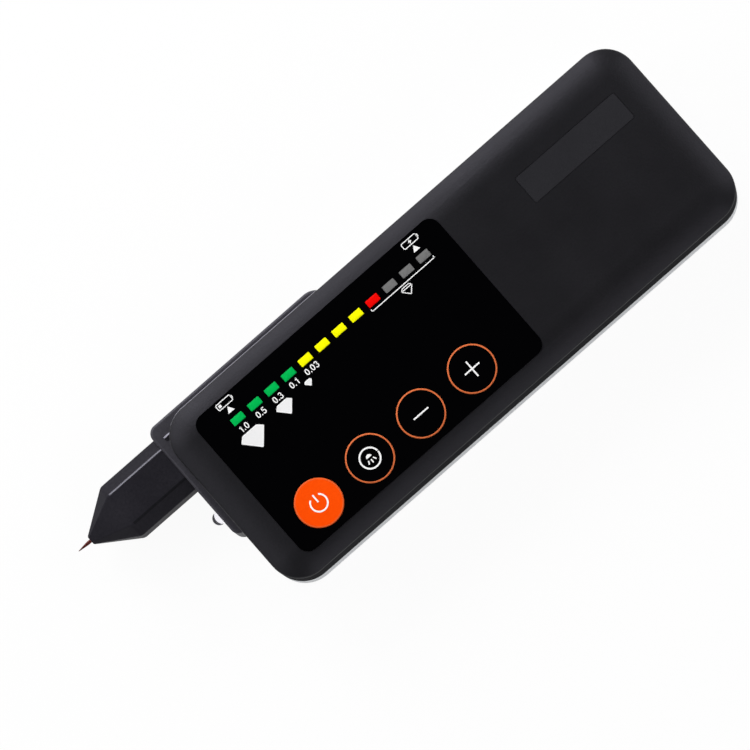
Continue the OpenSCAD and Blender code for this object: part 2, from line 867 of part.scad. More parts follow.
module probe_end_cap() {
  color("#e6e3da")
    difference() {
      union() {
        rod(cap_front, probe_y, probe_z, cap_plug, guide_bore_r - slide_gap);
        rod(guide_end, probe_y, probe_z, cap_head, guide_r);
      }
      rod(cap_front - cut, probe_y, probe_z, cap_plug + cap_head + 2 * cut, cap_hole_r);
    }
}

module probe_spring() {
  rings = 8;
  steps = spring_turns * rings;
  start = carrier_x1 + spring_wire_r;
  run = cap_front - spring_wire_r - start;
  path = [for (i = [0 : steps])
    [start + run * i / steps,
     probe_y + spring_r * cos(360 * i / rings),
     probe_z + spring_r * sin(360 * i / rings)]];
  color("#a9abae")
    tube(path, spring_wire_r, 6, [1, 0, 0]);
}

module probe_carrier() {
  color("#efece4")
    difference() {
      rod(carrier_x0, probe_y, probe_z, carrier_l, carrier_r);
      rod(carrier_x0 - cut, probe_y, probe_z, carrier_l, pin_bore_r);
      rod(carrier_x0 + carrier_front, probe_y, probe_z, carrier_l, heater_r + slide_gap);
    }
}

module probe_tip() {
  tip_x = nose_end - pin_out;
  tail_x = carrier_x0 + carrier_front + pin_tail;
  color("#7a2f22") {
    translate([tip_x, probe_y, probe_z])
      rotate([0, 90, 0])
        cylinder(h = pin_point, r1 = pin_blunt, r2 = pin_r);
    rod(tip_x + pin_point, probe_y, probe_z, tail_x - tip_x - pin_point, pin_r);
  }
}

module heater_bead() {
  color("#f2f0ea")
    difference() {
      rod(carrier_x0 + carrier_front, probe_y, probe_z, heater_l, heater_r);
      rod(carrier_x0 + carrier_front - cut, probe_y, probe_z, heater_l + 2 * cut, pin_bore_r);
    }
}

module probe_leads() {
  color("#b3261e")
    for (side = [-1, 1])
      tube([for (p = probe_lead_steps)
        [guide_end + cap_head + p[0], probe_y + side * cap_hole_r / 2, probe_z + p[1]]],
        probe_lead_r, 8, [0, 1, 0]);
}

module uv_lamp() {
  dome_x = housing_x0 - lamp_out + lamp_r;
  color("#dfe6f2") {
    translate([dome_x, lamp_y, probe_z])
      rotate([0, -90, 0])
        rotate_extrude()
          intersection() {
            circle(lamp_r);
            square(lamp_r);
          }
    rod(dome_x, lamp_y, probe_z, housing_inner_x - dome_x, lamp_r);
    rod(housing_inner_x, lamp_y, probe_z, lamp_flange_t, lamp_r + lamp_flange_w);
  }
}

module uv_lamp_leads() {
  color("#c7c9cc")
    for (side = [-1, 1])
      tube([for (p = lamp_lead_steps)
        [housing_inner_x + lamp_flange_t + p[0], lamp_y + side * lamp_lead_pitch / 2, probe_z + p[1]]],
        lamp_lead_r, 8, [0, 1, 0]);
}

module main_board() {
  color("#1f6b3a")
    difference() {
      translate([board_x0, -board_w / 2, board_z])
        cube([board_l, board_w, board_t]);
      at_points(board_screws)
        translate([0, 0, board_z - cut])
          cylinder(h = board_t + 2 * cut, r = board_screw_r + fit_gap);
      at_points(housing_screws)
        translate([0, 0, board_z - cut])
          cylinder(h = board_t + 2 * cut, r = post_r + 3 * fit_gap);
    }
}

module light_mask() {
  row_l = (light_count - 1) * light_pitch + light_l;
  seat_z = ceiling - mask_seat;
  color("#101012")
    difference() {
      translate([light_x(0) - light_l / 2 - mask_wall, light_y - light_w / 2 - mask_wall, board_top])
        cube([row_l + 2 * mask_wall, light_w + 2 * mask_wall, ceiling - fit_gap - board_top]);
      at_lights(0, light_count - 1) {
        block(light_l + 2 * fit_gap, light_w + 2 * fit_gap, seat_z, body_h);
        block(light_l - 2 * mask_step, light_w - 2 * mask_step, board_top - cut, body_h);
      }
    }
}

module indicator_chips() {
  color("#f3efe0")
    at_lights(0, light_count - 1)
      block(chip_light, light_w - 2 * mask_step - 2 * fit_gap, board_top, chip_light_h);
}

// Light windows from the first to the last of a colour
module windows(first, last) {
  at_lights(first, last)
    block(light_l, light_w, ceiling - mask_seat, panel_top - ceiling + mask_seat);
}

module green_windows() {
  color("#18b25f")
    windows(0, green_count - 1);
}

module yellow_windows() {
  color("#f1f322")
    windows(green_count, green_count + yellow_count - 1);
}

module red_window() {
  color("#e20b0d")
    windows(green_count + yellow_count, green_count + yellow_count);
}

module grey_windows() {
  color("#737373")
    windows(green_count + yellow_count + 1, light_count - 1);
}

module key_switches() {
  color("#2a2a2c")
    at_buttons()
      difference() {
        block(switch_w, switch_w, board_top, switch_h);
        translate([0, 0, board_top + switch_h - plunger_in - button_travel - fit_gap])
          cylinder(h = switch_h, r = plunger_r + fit_gap);
      }
}

// Button cap number i: a round cap with a flange under the ledge
module button_cap(i) {
  translate([button_x(i), button_y, 0])
    rotate_extrude() {
      translate([0, flange_z])
        square([button_r + flange_w, flange_t]);
      difference() {
        translate([0, flange_z])
          square([button_r, button_top - flange_z]);
        translate([button_r, button_top])
          edge_waste(button_edge_r);
      }
    }
}

module power_button() {
  color("#ff5a0a")
    button_cap(0);
}

module uv_button() {
  color("#0b0b0c")
    button_cap(1);
}

module minus_button() {
  color("#0b0b0c")
    button_cap(2);
}

module plus_button() {
  color("#0b0b0c")
    button_cap(3);
}

// Plunger of key switch number i
module switch_plunger(i) {
  color("#d8d6d0")
    translate([button_x(i), button_y, board_top + switch_h - plunger_in])
      cylinder(h = plunger_h + plunger_in, r = plunger_r);
}

module power_plunger() {
  switch_plunger(0);
}

module uv_plunger() {
  switch_plunger(1);
}

module minus_plunger() {
  switch_plunger(2);
}

module plus_plunger() {
  switch_plunger(3);
}

module controller_chip() {
  color("#17171a")
    translate([component_x, connector_y, 0])
      block(controller_w, controller_w, board_z - controller_h, controller_h);
}

module buzzer() {
  color("#222225")
    translate([component_x, button_y + button_r, board_z - buzzer_h])
      difference() {
        cylinder(h = buzzer_h, r = buzzer_r);
        translate([0, 0, -cut])
          cylinder(h = 2 * cut, r = buzzer_hole_r);
      }
}

module small_components() {
  color("#b99b6b")
    for (i = [0 : passive_count - 1], j = [0, 1])
      translate([component_x + controller_w + passive_pitch * i, lamp_y - passive_rows * j, 0])
        block(passive_l, passive_w, board_z - passive_w, passive_w);
}

module battery_connector() {
  mouth_w = connector_w - 2 * connector_wall;
  color("#efe9dc")
    translate([board_x1 - connector_l - board_screw_inset, connector_y, 0])
      difference() {
        block(connector_l, connector_w, board_z - connector_h, connector_h);
        translate([connector_l / 2 - connector_mouth, -mouth_w / 2, board_z - connector_h + connector_wall])
          cube([connector_mouth + cut, mouth_w, connector_h - 2 * connector_wall]);
      }
}

module charge_board() {
  color("#1d3f7a")
    translate([charge_x1 - charge_l, charge_y1 - charge_w, floor_z + charge_rib])
      cube([charge_l, charge_w, charge_t]);
}

module charge_chip() {
  color("#17171a")
    translate([charge_x1 - charge_chip_inset, charge_y1 - charge_w + charge_chip_inset, charge_top])
      mirror([1, 0, 0])
        cube([charge_chip_l, charge_chip_w, charge_chip_h]);
}

module socket_shell() {
  color("#c4c6c9")
    difference() {
      stadium_bar(socket_x1 - socket_l, socket_l, socket_w, socket_h);
      stadium_bar(socket_x1 - socket_l - cut, socket_l + 2 * cut,
        socket_w - 2 * socket_wall, socket_h - 2 * socket_wall);
    }
}

module socket_tongue() {
  base_x = socket_x1 - socket_l;
  base_l = socket_l - tongue_l - tongue_recess;
  color("#111113") {
    stadium_bar(base_x, base_l, socket_w - 2 * socket_wall, socket_h - 2 * socket_wall);
    translate([base_x + base_l, socket_y - tongue_w / 2, socket_z - tongue_t / 2])
      cube([tongue_l, tongue_w, tongue_t]);
  }
}

module battery_cell() {
  color("#b9bcc2")
    translate([(cell_x0 + cell_x1) / 2, (cell_y0 + cell_y1) / 2, cell_z])
      soft_slab(cell_l, cell_w, cell_h, 2 * cell_edge_r, 2 * cell_edge_r, cell_edge_r, cell_edge_r);
}

module battery_pad() {
  color("#4a4a4d")
    translate([(cell_x0 + cell_x1) / 2, (cell_y0 + cell_y1) / 2, floor_z])
      plate(cell_l - 4 * cell_edge_r, cell_w - 4 * cell_edge_r, pad_t, cell_edge_r);
}

module battery_leads() {
  start_y = charge_y1 - charge_w + charge_chip_inset + 2 * lead_r;
  start_z = cell_z + cell_h / 2;
  drop = start_z - charge_top - lead_r;
  color("#c0392b")
    for (i = [0, 1])
      tube([for (p = battery_lead_steps)
        [cell_x1 + p[0], start_y + 4 * lead_r * i, start_z - drop * p[1]]],
        lead_r, 8, [0, 1, 0]);
}

module supply_leads() {
  start_x = charge_x1 - charge_l + 2 * lead_r;
  mouth_x = board_x1 - board_screw_inset - connector_l / 2 - connector_mouth;
  climb = board_z - connector_h / 2 - charge_top;
  color("#2c2c2e")
    for (side = [-1, 1])
      let (y = connector_y + side * 1.5 * lead_r, y0 = y - 3 * lead_r)
        tube(concat(
          [for (p = supply_lead_steps) [start_x + p[0], y0, charge_top + climb * p[1]]],
          [[mouth_x + 4 * connector_l, y0, charge_top + climb],
           [mouth_x + 2 * connector_l, y, charge_top + climb],
           [mouth_x, y, charge_top + climb]]),
          lead_r, 8, [0, 1, 0]);
}

// Case screw standing in its seat, head down
module case_screw() {
  difference() {
    union() {
      translate([0, 0, screw_sink])
        cylinder(h = screw_head_h, r = screw_head_r);
      translate([0, 0, screw_seat])
        cylinder(h = screw_l, r = screw_r);
    }
    block(slot_w, 1.3 * screw_head_r, 0, screw_sink + screw_head_h / 2);
    block(1.3 * screw_head_r, slot_w, 0, screw_sink + screw_head_h / 2);
  }
}

module case_screws() {
  color("#6f7176")
    at_points(concat(rear_screws, housing_screws))
      case_screw();
}

module board_screws() {
  color("#8f9196")
    at_points(board_screws) {
      translate([0, 0, board_z - board_screw_head_h])
        cylinder(h = board_screw_head_h, r = board_screw_head_r);
      translate([0, 0, board_z])
        cylinder(h = board_screw_l, r = board_screw_r);
    }
}

front_shell();
rear_shell();
probe_housing();
display_panel();
panel_adhesive();
name_label();
nose_cone();
nose_ring_nut();
probe_guide_tube();
probe_end_cap();
probe_spring();
probe_carrier();
probe_tip();
heater_bead();
probe_leads();
uv_lamp();
uv_lamp_leads();
main_board();
light_mask();
indicator_chips();
green_windows();
yellow_windows();
red_window();
grey_windows();
key_switches();
power_button();
uv_button();
minus_button();
plus_button();
power_plunger();
uv_plunger();
minus_plunger();
plus_plunger();
controller_chip();
buzzer();
small_components();
battery_connector();
charge_board();
charge_chip();
socket_shell();
socket_tongue();
battery_cell();
battery_pad();
battery_leads();
supply_leads();
case_screws();
board_screws();
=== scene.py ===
import bmesh
import bpy
import numpy as np
from mathutils import Matrix, Vector


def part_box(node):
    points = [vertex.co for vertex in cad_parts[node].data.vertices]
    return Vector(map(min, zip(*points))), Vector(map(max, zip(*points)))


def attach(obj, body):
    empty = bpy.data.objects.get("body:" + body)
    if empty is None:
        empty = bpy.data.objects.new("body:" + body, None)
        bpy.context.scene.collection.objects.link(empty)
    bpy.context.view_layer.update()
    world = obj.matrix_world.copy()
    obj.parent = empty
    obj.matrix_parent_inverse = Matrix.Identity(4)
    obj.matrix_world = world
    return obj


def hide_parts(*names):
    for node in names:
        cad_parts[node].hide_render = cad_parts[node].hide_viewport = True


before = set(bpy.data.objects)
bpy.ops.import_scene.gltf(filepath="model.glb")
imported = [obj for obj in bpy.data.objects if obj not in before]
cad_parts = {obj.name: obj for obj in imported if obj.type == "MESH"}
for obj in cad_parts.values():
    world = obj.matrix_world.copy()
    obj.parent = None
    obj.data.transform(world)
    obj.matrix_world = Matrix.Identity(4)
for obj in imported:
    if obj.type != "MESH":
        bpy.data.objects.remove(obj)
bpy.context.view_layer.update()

# Rear shell: the tray that everything is built into, injection moulded in ABS and sprayed with a
# silver lacquer. The front shell is screwed down on it, so only its side shows, as a bright line.
MM = 0.001
lacquer_silver = "#d3d5d8"
lacquer_shadow = "#bfc2c5"
lacquer_flake = 0.25
lacquer_ripple = 3.0
lacquer_ripple_depth = 0.05
lacquer_roughness = (0.32, 0.46)
lacquer_metal_share = 0.4


def linear(hex_colour):
    """Linear RGBA of an sRGB hex colour."""
    srgb = np.frombuffer(bytes.fromhex(hex_colour[1:]), np.uint8) / 255
    rgb = np.where(srgb < 0.04045, srgb / 12.92, ((srgb + 0.055) / 1.055) ** 2.4)
    return (*rgb.tolist(), 1.0)


def add_node(owner, kind, inputs=None, **settings):
    """Adds a shader node, fills its settings, and sets or links its inputs by name, or by number
    where names repeat. Mix takes its share at 0 and its colours at 6 and 7, and gives a colour
    at 2. MapRange takes its value at 0, the old range at 1 and 2 and the new one at 3 and 4."""
    node = owner.node_tree.nodes.new("ShaderNode" + kind)
    for key, value in settings.items():
        setattr(node, key, value)
    for key, value in (inputs or {}).items():
        if isinstance(value, bpy.types.NodeSocket):
            owner.node_tree.links.new(value, node.inputs[key])
        else:
            node.inputs[key].default_value = value
    return node


def start_material(name):
    """Starts an empty node material; its second part is the place on the object in millimetres."""
    material = bpy.data.materials.new(name)
    material.use_nodes = True
    material.node_tree.nodes.clear()
    place = add_node(material, "TexCoord").outputs["Object"]
    in_mm = add_node(material, "Mapping", {"Vector": place, "Scale": (1 / MM,) * 3})
    return material, in_mm.outputs["Vector"]


def finish_material(material, shader):
    """Sends a shader to the material's output."""
    add_node(material, "OutputMaterial", {"Surface": shader.outputs[0]})
    return material


def silver_lacquer():
    """Silver lacquer sprayed on ABS: metal flakes of mixed brightness sparkle under a faint ripple.
    Real flakes are about a tenth as wide; these are drawn coarser, so that they show."""
    material, place = start_material("silver_lacquer")
    flake = add_node(material, "TexVoronoi", {"Vector": place, "Scale": 1 / lacquer_flake})
    ripple = add_node(material, "TexNoise", {"Vector": place, "Scale": 1 / lacquer_ripple, "Detail": 3})
    tone = add_node(material, "Mix", {0: flake.outputs["Color"], 6: linear(lacquer_shadow),
                                      7: linear(lacquer_silver)}, data_type="RGBA")
    gloss = add_node(material, "MapRange", {0: ripple.outputs[0], 3: lacquer_roughness[0],
                                            4: lacquer_roughness[1]})
    relief = add_node(material, "Bump", {"Height": ripple.outputs[0], "Strength": 0.3,
                                         "Distance": lacquer_ripple_depth * MM})
    return finish_material(material, add_node(material, "BsdfPrincipled", {
        "Base Color": tone.outputs[2], "Metallic": lacquer_metal_share, "Roughness": gloss.outputs[0],
        "Normal": relief.outputs[0]}))


def dress(material, *nodes):
    """Gives CAD nodes a material."""
    for node in nodes:
        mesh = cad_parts[node].data
        mesh.materials.clear()
        mesh.materials.append(material)


dress(silver_lacquer(), "rear_shell")

# Probe housing: a black block moulded in ABS with the same fine spark-eroded grain as the front
# shell. It is screwed in under the front corner, where its ledge shows past two sides. The ledge
# is painted lighter than its walls: painted light, for the light that the ledge catches.
# Ledge colours: painted light, lighter than the wall colour below, for the light the ledge catches
ledge_painted_light_colour = "#2e2d32"
ledge_painted_light_sheen = "#3a393e"
housing_wall_colour = "#1c1b1f"
wall_below_ledge = (0.9, 0.3)
ledge_drop = 0.3
gloss_tint = "#efecff"
abs_index = 1.53
mould_grain = 0.5
mould_depth = 0.035
handling_cloud = 14.0
cloud_range = (0.3, 0.7)
speckle_range = (0.1, 0.4)
gloss_change = 0.03


def moulded_plastic(name, colour, sheen, roughness, grain=mould_grain, depth=mould_depth, specular=0.25,
                    painted_wall_tone=None):
    """Moulded plastic: the mould's grain stands as fine relief, and handling leaves cloudy changes
    of tone and gloss. Real grain is about a fifth as wide; it is drawn coarser, so that it shows.
    painted_wall_tone gives two heights, a gloss and a colour: from the upper height down to the lower
    one the surface turns to that gloss, if there is one, and to that colour. That colour is painted:
    a painted sheen on the front shell's walls, and on the housing darker walls below a ledge that is
    painted lighter as painted light."""
    material, place = start_material(name)
    pits = add_node(material, "TexNoise", {"Vector": place, "Scale": 1 / grain, "Detail": 3,
                                           "Roughness": 0.6})
    cloud = add_node(material, "TexNoise", {"Vector": place, "Scale": 1 / handling_cloud, "Detail": 4})
    both = add_node(material, "Math", {0: pits.outputs[0], 1: cloud.outputs[0]}, operation="MULTIPLY")
    share = add_node(material, "MapRange", {0: both.outputs[0], 1: speckle_range[0], 2: speckle_range[1]})
    tone = add_node(material, "Mix", {0: share.outputs[0], 6: linear(colour), 7: linear(sheen)},
                    data_type="RGBA")
    gloss = add_node(material, "MapRange", {0: cloud.outputs[0], 1: cloud_range[0], 2: cloud_range[1],
                                            3: roughness - gloss_change, 4: roughness + gloss_change})
    relief = add_node(material, "Bump", {"Height": pits.outputs[0], "Strength": 1,
                                         "Distance": depth * MM})
    level = specular
    # Wall tone by height: painted light and shade set against the face above
    if painted_wall_tone:
        low, high, wall_gloss, wall_colour = painted_wall_tone
        height = add_node(material, "SeparateXYZ", {0: place}).outputs[2]
        rise = add_node(material, "MapRange", {0: height, 1: low, 2: high}).outputs[0]
        if wall_gloss is not None:
            level = add_node(material, "MapRange", {0: rise, 3: wall_gloss, 4: specular}).outputs[0]
        tone = add_node(material, "Mix", {0: rise, 6: linear(wall_colour), 7: tone.outputs[2]},
                        data_type="RGBA")
    return finish_material(material, add_node(material, "BsdfPrincipled", {
        "Base Color": tone.outputs[2], "Roughness": gloss.outputs[0], "IOR": abs_index,
        "Specular IOR Level": level, "Specular Tint": linear(gloss_tint), "Normal": relief.outputs[0]}))


def box_mm(node):
    """Lowest and highest corner of a CAD node in millimetres."""
    return [np.array(corner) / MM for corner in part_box(node)]


ledge_z = box_mm("probe_housing")[1][2] - ledge_drop
housing_wall = (ledge_z - wall_below_ledge[0], ledge_z - wall_below_ledge[1], None, housing_wall_colour)
# The housing's ledge and upper faces take the painted light; its walls below stay darker
satin_abs = moulded_plastic("satin_abs_housing", ledge_painted_light_colour, ledge_painted_light_sheen, roughness=0.5, specular=0.3,
                            painted_wall_tone=housing_wall)
dress(satin_abs, "probe_housing")

# Bead and rib: a round bead along the housing's ledge, close to the front shell's wall, and a short
# locating rib near the corner. Both are moulded in one with the ABS housing. Their crests come out
# of the mould smooth, so they catch the light as thin lines.
crest_black = "#0c0c0d"
crest_sheen = "#121214"
smooth_depth = 0.01
corner_r = 7.2
bead_r = 0.28
bead_sink = 0.1
bead_clear = (0.05, 0.27)
bead_end_x = -18.6
bead_turn = 122
bead_sides = 24
bead_straight_steps = 30
bead_turn_steps = 24
rib_y = 20.84
rib_x = (-62.9, -61.2)
rib_steps = 9
rib_crest_r = 1.2
rib_crest_steps = 12
rib_slopes = (36, 10)
rib_half = 0.25
rib_top = 0.44
rib_foot = 1.0
rib_sink = 0.2
weld_distance = 0.0005


def surface(grid, row_loop=False):
    """Points of a grid in one list, with a quad between each two neighbouring rows and columns.
    The last column joins the first, and with row_loop the last row does too."""
    rows, columns = grid.shape[:2]
    r, c = np.meshgrid(np.arange(rows - (not row_loop)), np.arange(columns), indexing="ij")
    corners = [(r, c), (r, c + 1), (r + 1, c + 1), (r + 1, c)]
    faces = np.stack([i % rows * columns + j % columns for i, j in corners], -1)
    return grid.reshape(-1, 3), faces.reshape(-1, 4)


def add_piece(name, made, materials, body, nodes=(), inks=None, sharp=40):
    """Makes a surface in millimetres into a piece that rides on a body and may stand for CAD nodes.
    Points that coincide are merged, which closes seams and poles, and faces are turned outwards.
    inks gives each face the number of its material. Edges past sharp degrees stay crisp."""
    points, faces = made
    mesh = bpy.data.meshes.new(name)
    mesh.from_pydata((points * MM).tolist(), [], faces.tolist())
    if inks is not None:
        mesh.polygons.foreach_set("material_index", inks)
    work = bmesh.new()
    work.from_mesh(mesh)
    bmesh.ops.remove_doubles(work, verts=work.verts, dist=weld_distance * MM)
    bmesh.ops.recalc_face_normals(work, faces=work.faces)
    work.to_mesh(mesh)
    work.free()
    mesh.shade_smooth()
    mesh.set_sharp_from_angle(angle=np.radians(sharp))
    for material in materials:
        mesh.materials.append(material)
    piece = bpy.data.objects.new(name, mesh)
    bpy.context.scene.collection.objects.link(piece)
    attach(piece, body)
    if nodes:
        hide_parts(*nodes)
    return piece


def arc(middle, radii, start, end, steps):
    """Points of an ellipse's arc about its middle, between two angles in degrees."""
    turn = np.radians(np.linspace(start, end, steps))
    return middle + np.stack([np.cos(turn), np.sin(turn)], -1) * radii


def swept_bar(path, section):
    """A closed section carried along a path in the XY plane, square to it: the section's first
    coordinate is set off to the left of the path and its second is the height. Each end closes
    to its middle."""
    ahead = np.gradient(path, axis=0)
    left = np.stack([-ahead[:, 1], ahead[:, 0]], -1) / np.linalg.norm(ahead, axis=1)[:, None]
    flat = path[:, None] + left[:, None] * section[None, :, :1]
    height = np.broadcast_to(section[None, :, 1:], flat.shape[:2] + (1,))
    grid = np.concatenate([flat, height], -1)
    ends = [row.mean(1, keepdims=True).repeat(grid.shape[1], 1) for row in (grid[:1], grid[-1:])]
    return surface(np.concatenate([ends[0], grid, ends[1]]))


edge_abs = moulded_plastic("edge_abs", crest_black, crest_sheen, roughness=0.24, depth=smooth_depth,
                           specular=0.8)
shell_low, shell_high = box_mm("front_shell")
run = corner_r + bead_r + np.array(bead_clear)
corner = np.array([shell_low[0] + corner_r, shell_high[1] - corner_r])
bead_y = corner[1] + run[1]

# The bead runs straight beside the shell and then round its corner, on an ellipse's arc
bead_path = np.concatenate([
    np.linspace((bead_end_x, bead_y), (corner[0], bead_y), bead_straight_steps)[:-1],
    arc(corner, run, 90, bead_turn, bead_turn_steps)])
bead = swept_bar(bead_path, arc((0, ledge_z - bead_sink), bead_r, 0, 360, bead_sides + 1)[:-1])
add_piece("ledge_bead", bead, [edge_abs], "tester")

rib_path = np.linspace((rib_x[0], rib_y), (rib_x[1], rib_y), rib_steps)
gentle = np.radians(rib_slopes[1])
crest_mid = (-rib_half - rib_crest_r * np.sin(gentle),
             ledge_z + rib_top - rib_crest_r * np.cos(gentle))
crest = arc(crest_mid, rib_crest_r, 90 - rib_slopes[0], 90 - rib_slopes[1], rib_crest_steps)
rib_section = np.array([(-rib_foot, ledge_z - rib_sink), (rib_half, ledge_z - rib_sink), *crest,
                        (-rib_foot, ledge_z)])
rib_columns = np.arange(len(rib_section))
on_crest = (rib_columns > 1) & (rib_columns < len(crest) + 1)
rib_inks = np.tile(on_crest, len(rib_path) + 1).astype(np.int32)
add_piece("ledge_rib", swept_bar(rib_path, rib_section), [satin_abs, edge_abs], "tester",
          inks=rib_inks)

# Nose: a black ABS moulding with chamfered sides and a taper, held by a ring nut on its spigot.
# Its edges are softly rounded. Along the straight length the upper edge on the probe side is
# glossy and catches the light, and the one across from it is dull, with a painted shade that
# darkens it to a line.
nose_colour = "#1e1d22"
# Dull edge colours: a painted shade, darker than the nose, that draws the dull edge as a dark line
nose_sheen = "#28272c"
nose_painted_shade = "#151518"
nose_painted_shade_sheen = "#1a1a1d"
nose_grain = 0.6
nose_grain_depth = 0.02
nose_chamfer = 2.8
nose_edge_r = 0.8
nose_edge_steps = 7
lit_edge = 1
dull_shaded_edge = 2
nose_taper_l = 9.0
nose_flat_w = 2.0
spigot_r = 4.2
bore_r = 3.05
pin_hole_r = 0.5
shoulder_blend = 0.5
tip_blend = 0.15
straight_rings = 8
shoulder_rings = 7
taper_rings = 10
tip_rings = 5
metal_grain = 0.3
metal_grain_depth = 0.01
metal_gloss_change = 0.08
quadrants = np.array([[1, 1], [-1, 1], [-1, -1], [1, -1]])


def chamfered_outline(width, height, chamfer, edge_r):
    """Rectangle with chamfered corners, as points (y, z): an arc of edge_r at each of its eight
    edges, between the directions that the two faces beside it look, 45 degrees apart. The edges
    count from the probe side up and over."""
    turn = np.radians(np.arange(8)[:, None] * 45 + np.linspace(0, 45, nose_edge_steps))
    half = np.array([width, height]) / 2
    reach = np.tan(np.radians(45 / 2)) * edge_r
    y_face = half - (0, chamfer)
    z_face = half - (chamfer, 0)
    quarter = np.array([y_face - (edge_r, reach), z_face - (reach, edge_r)])
    middles = np.concatenate([quarter[::-1 if i % 2 else 1] * sign for i, sign in enumerate(quadrants)])
    return (middles[:, None] + edge_r * np.stack([np.cos(turn), np.sin(turn)], -1)).reshape(-1, 2)


def nose_scale(x):
    """Share of the full outline at x: it falls evenly along the taper, and a short parabola
    rounds the start of the fall."""
    fall = (1 - flat_share) / nose_taper_l
    ahead = np.clip((taper_x + shoulder_blend - x) / (2 * shoulder_blend), 0, 1)
    beyond = np.clip(taper_x - shoulder_blend - x, 0, None)
    return 1 - fall * (shoulder_blend * ahead ** 2 + beyond)


def plain_metal(name, colour, roughness, grain=metal_grain):
    """Bare metal, drawn, stamped or plated: a fine uneven skin that breaks up its gloss. The skin
    of a real one is finer; it is drawn coarser, so that it shows."""
    material, place = start_material(name)
    skin = add_node(material, "TexNoise", {"Vector": place, "Scale": 1 / grain, "Detail": 4})
    gloss = add_node(material, "MapRange", {0: skin.outputs[0], 3: roughness - metal_gloss_change,
                                            4: roughness + metal_gloss_change})
    relief = add_node(material, "Bump", {"Height": skin.outputs[0], "Strength": 0.4,
                                         "Distance": metal_grain_depth * MM})
    return finish_material(material, add_node(material, "BsdfPrincipled", {
        "Base Color": linear(colour), "Metallic": 1, "Roughness": gloss.outputs[0],
        "Normal": relief.outputs[0]}))


nose_low, nose_high = box_mm("nose_cone")
nose_axis = (nose_low + nose_high) / 2
nose_size = nose_high - nose_low
base_x = box_mm("probe_housing")[0][0]
taper_x = nose_low[0] + nose_taper_l
outline = chamfered_outline(nose_size[1], nose_size[2], nose_chamfer, nose_edge_r)
around = np.arctan2(outline[:, 1], outline[:, 0])
circle = np.stack([np.cos(around), np.sin(around)], -1)
flat_share = nose_flat_w / nose_size[1]

# Rings of the nose: from the housing along the skin, round the tip, and back through the bore
skin_x = np.concatenate([
    np.linspace(base_x, taper_x + shoulder_blend, straight_rings),
    np.linspace(taper_x + shoulder_blend, taper_x - shoulder_blend, shoulder_rings)[1:],
    np.linspace(taper_x - shoulder_blend, nose_low[0] + tip_blend, taper_rings)[1:]])
tip_arc = arc((nose_low[0] + tip_blend, -tip_blend), tip_blend, 90, 180, tip_rings)
bore_x = box_mm("probe_guide_tube")[0][0]
inner_x = [nose_low[0], bore_x, bore_x, nose_high[0], nose_high[0], base_x]
inner_r = [pin_hole_r, pin_hole_r, bore_r, bore_r, spigot_r, spigot_r]
rings = [outline * share for share in nose_scale(skin_x)]
rings += [outline * flat_share + circle * drop for drop in tip_arc[:, 1]]
rings += [circle * radius for radius in inner_r]
ring_x = np.concatenate([skin_x, tip_arc[:, 0], inner_x])
nose_grid = np.concatenate([np.broadcast_to(ring_x[:, None, None], (len(ring_x), len(outline), 1)),
                            np.stack(rings) + nose_axis[1:]], -1)

# Ink of each face: the lit edge, and the dull edge with its painted shade, along the straight length, and
# the rest plain
columns = np.arange(len(outline))
edge_of = np.where(columns % nose_edge_steps < nose_edge_steps - 1, columns // nose_edge_steps, -1)
edge_ink = np.where(edge_of == lit_edge, 1, np.where(edge_of == dull_shaded_edge, 2, 0))
on_straight = np.arange(len(ring_x)) < straight_rings - 1
nose_inks = np.where(on_straight[:, None], edge_ink, 0).astype(np.int32).ravel()
nose_abs = moulded_plastic("satin_abs_nose", nose_colour, nose_sheen, roughness=0.45, grain=nose_grain,
                           depth=nose_grain_depth, specular=0.04)
ridge_abs = moulded_plastic("ridge_abs", crest_black, crest_sheen, roughness=0.28, depth=smooth_depth,
                            specular=0.6)
# The dull edge's material: a painted shade
painted_shade_abs = moulded_plastic("painted_shade_abs", nose_painted_shade, nose_painted_shade_sheen, roughness=0.6, specular=0.05)
nose = add_piece("nose_moulding", surface(nose_grid, row_loop=True), [nose_abs, ridge_abs, painted_shade_abs],
                 "tester", ["nose_cone"], nose_inks, sharp=50)
nose.modifiers.new("even_flats", "WEIGHTED_NORMAL").keep_sharp = True
tinned_steel = plain_metal("tinned_steel", "#b9bbbd", roughness=0.32)
dress(tinned_steel, "nose_ring_nut")

# Probe: a copper pin turned to a point, pressed into a ceramic heater in a sliding nylon carrier.
# Its end is dulled and reddened by heat. The brass guide tube and the spring stay out of sight.
pin_copper = "#5c1f17"
pin_scorch = "#36100d"
pin_point_l = 2.5
pin_point_blend = 0.2
pin_blend_share = 0.94
pin_blunt_r = 0.08
pin_end_chamfer = 0.1
turning_pitch = 0.3157
turning_depth = 0.01
wave_turn = 20
heat_tint = 0.8


def turned(profile, middle, along, steps=64):
    """Lathe surface: each profile row, a place along the axis and a radius, becomes a circle
    about the axis through middle."""
    turn = np.linspace(0, 2 * np.pi, steps, endpoint=False)
    place, radius = np.asarray(profile, float).T
    across = [axis for axis in range(3) if axis != along]
    grid = np.tile(np.asarray(middle, float), (len(place), steps, 1))
    grid[..., along] = place[:, None]
    grid[..., across[0]] += radius[:, None] * np.cos(turn)
    grid[..., across[1]] += radius[:, None] * np.sin(turn)
    return surface(grid)


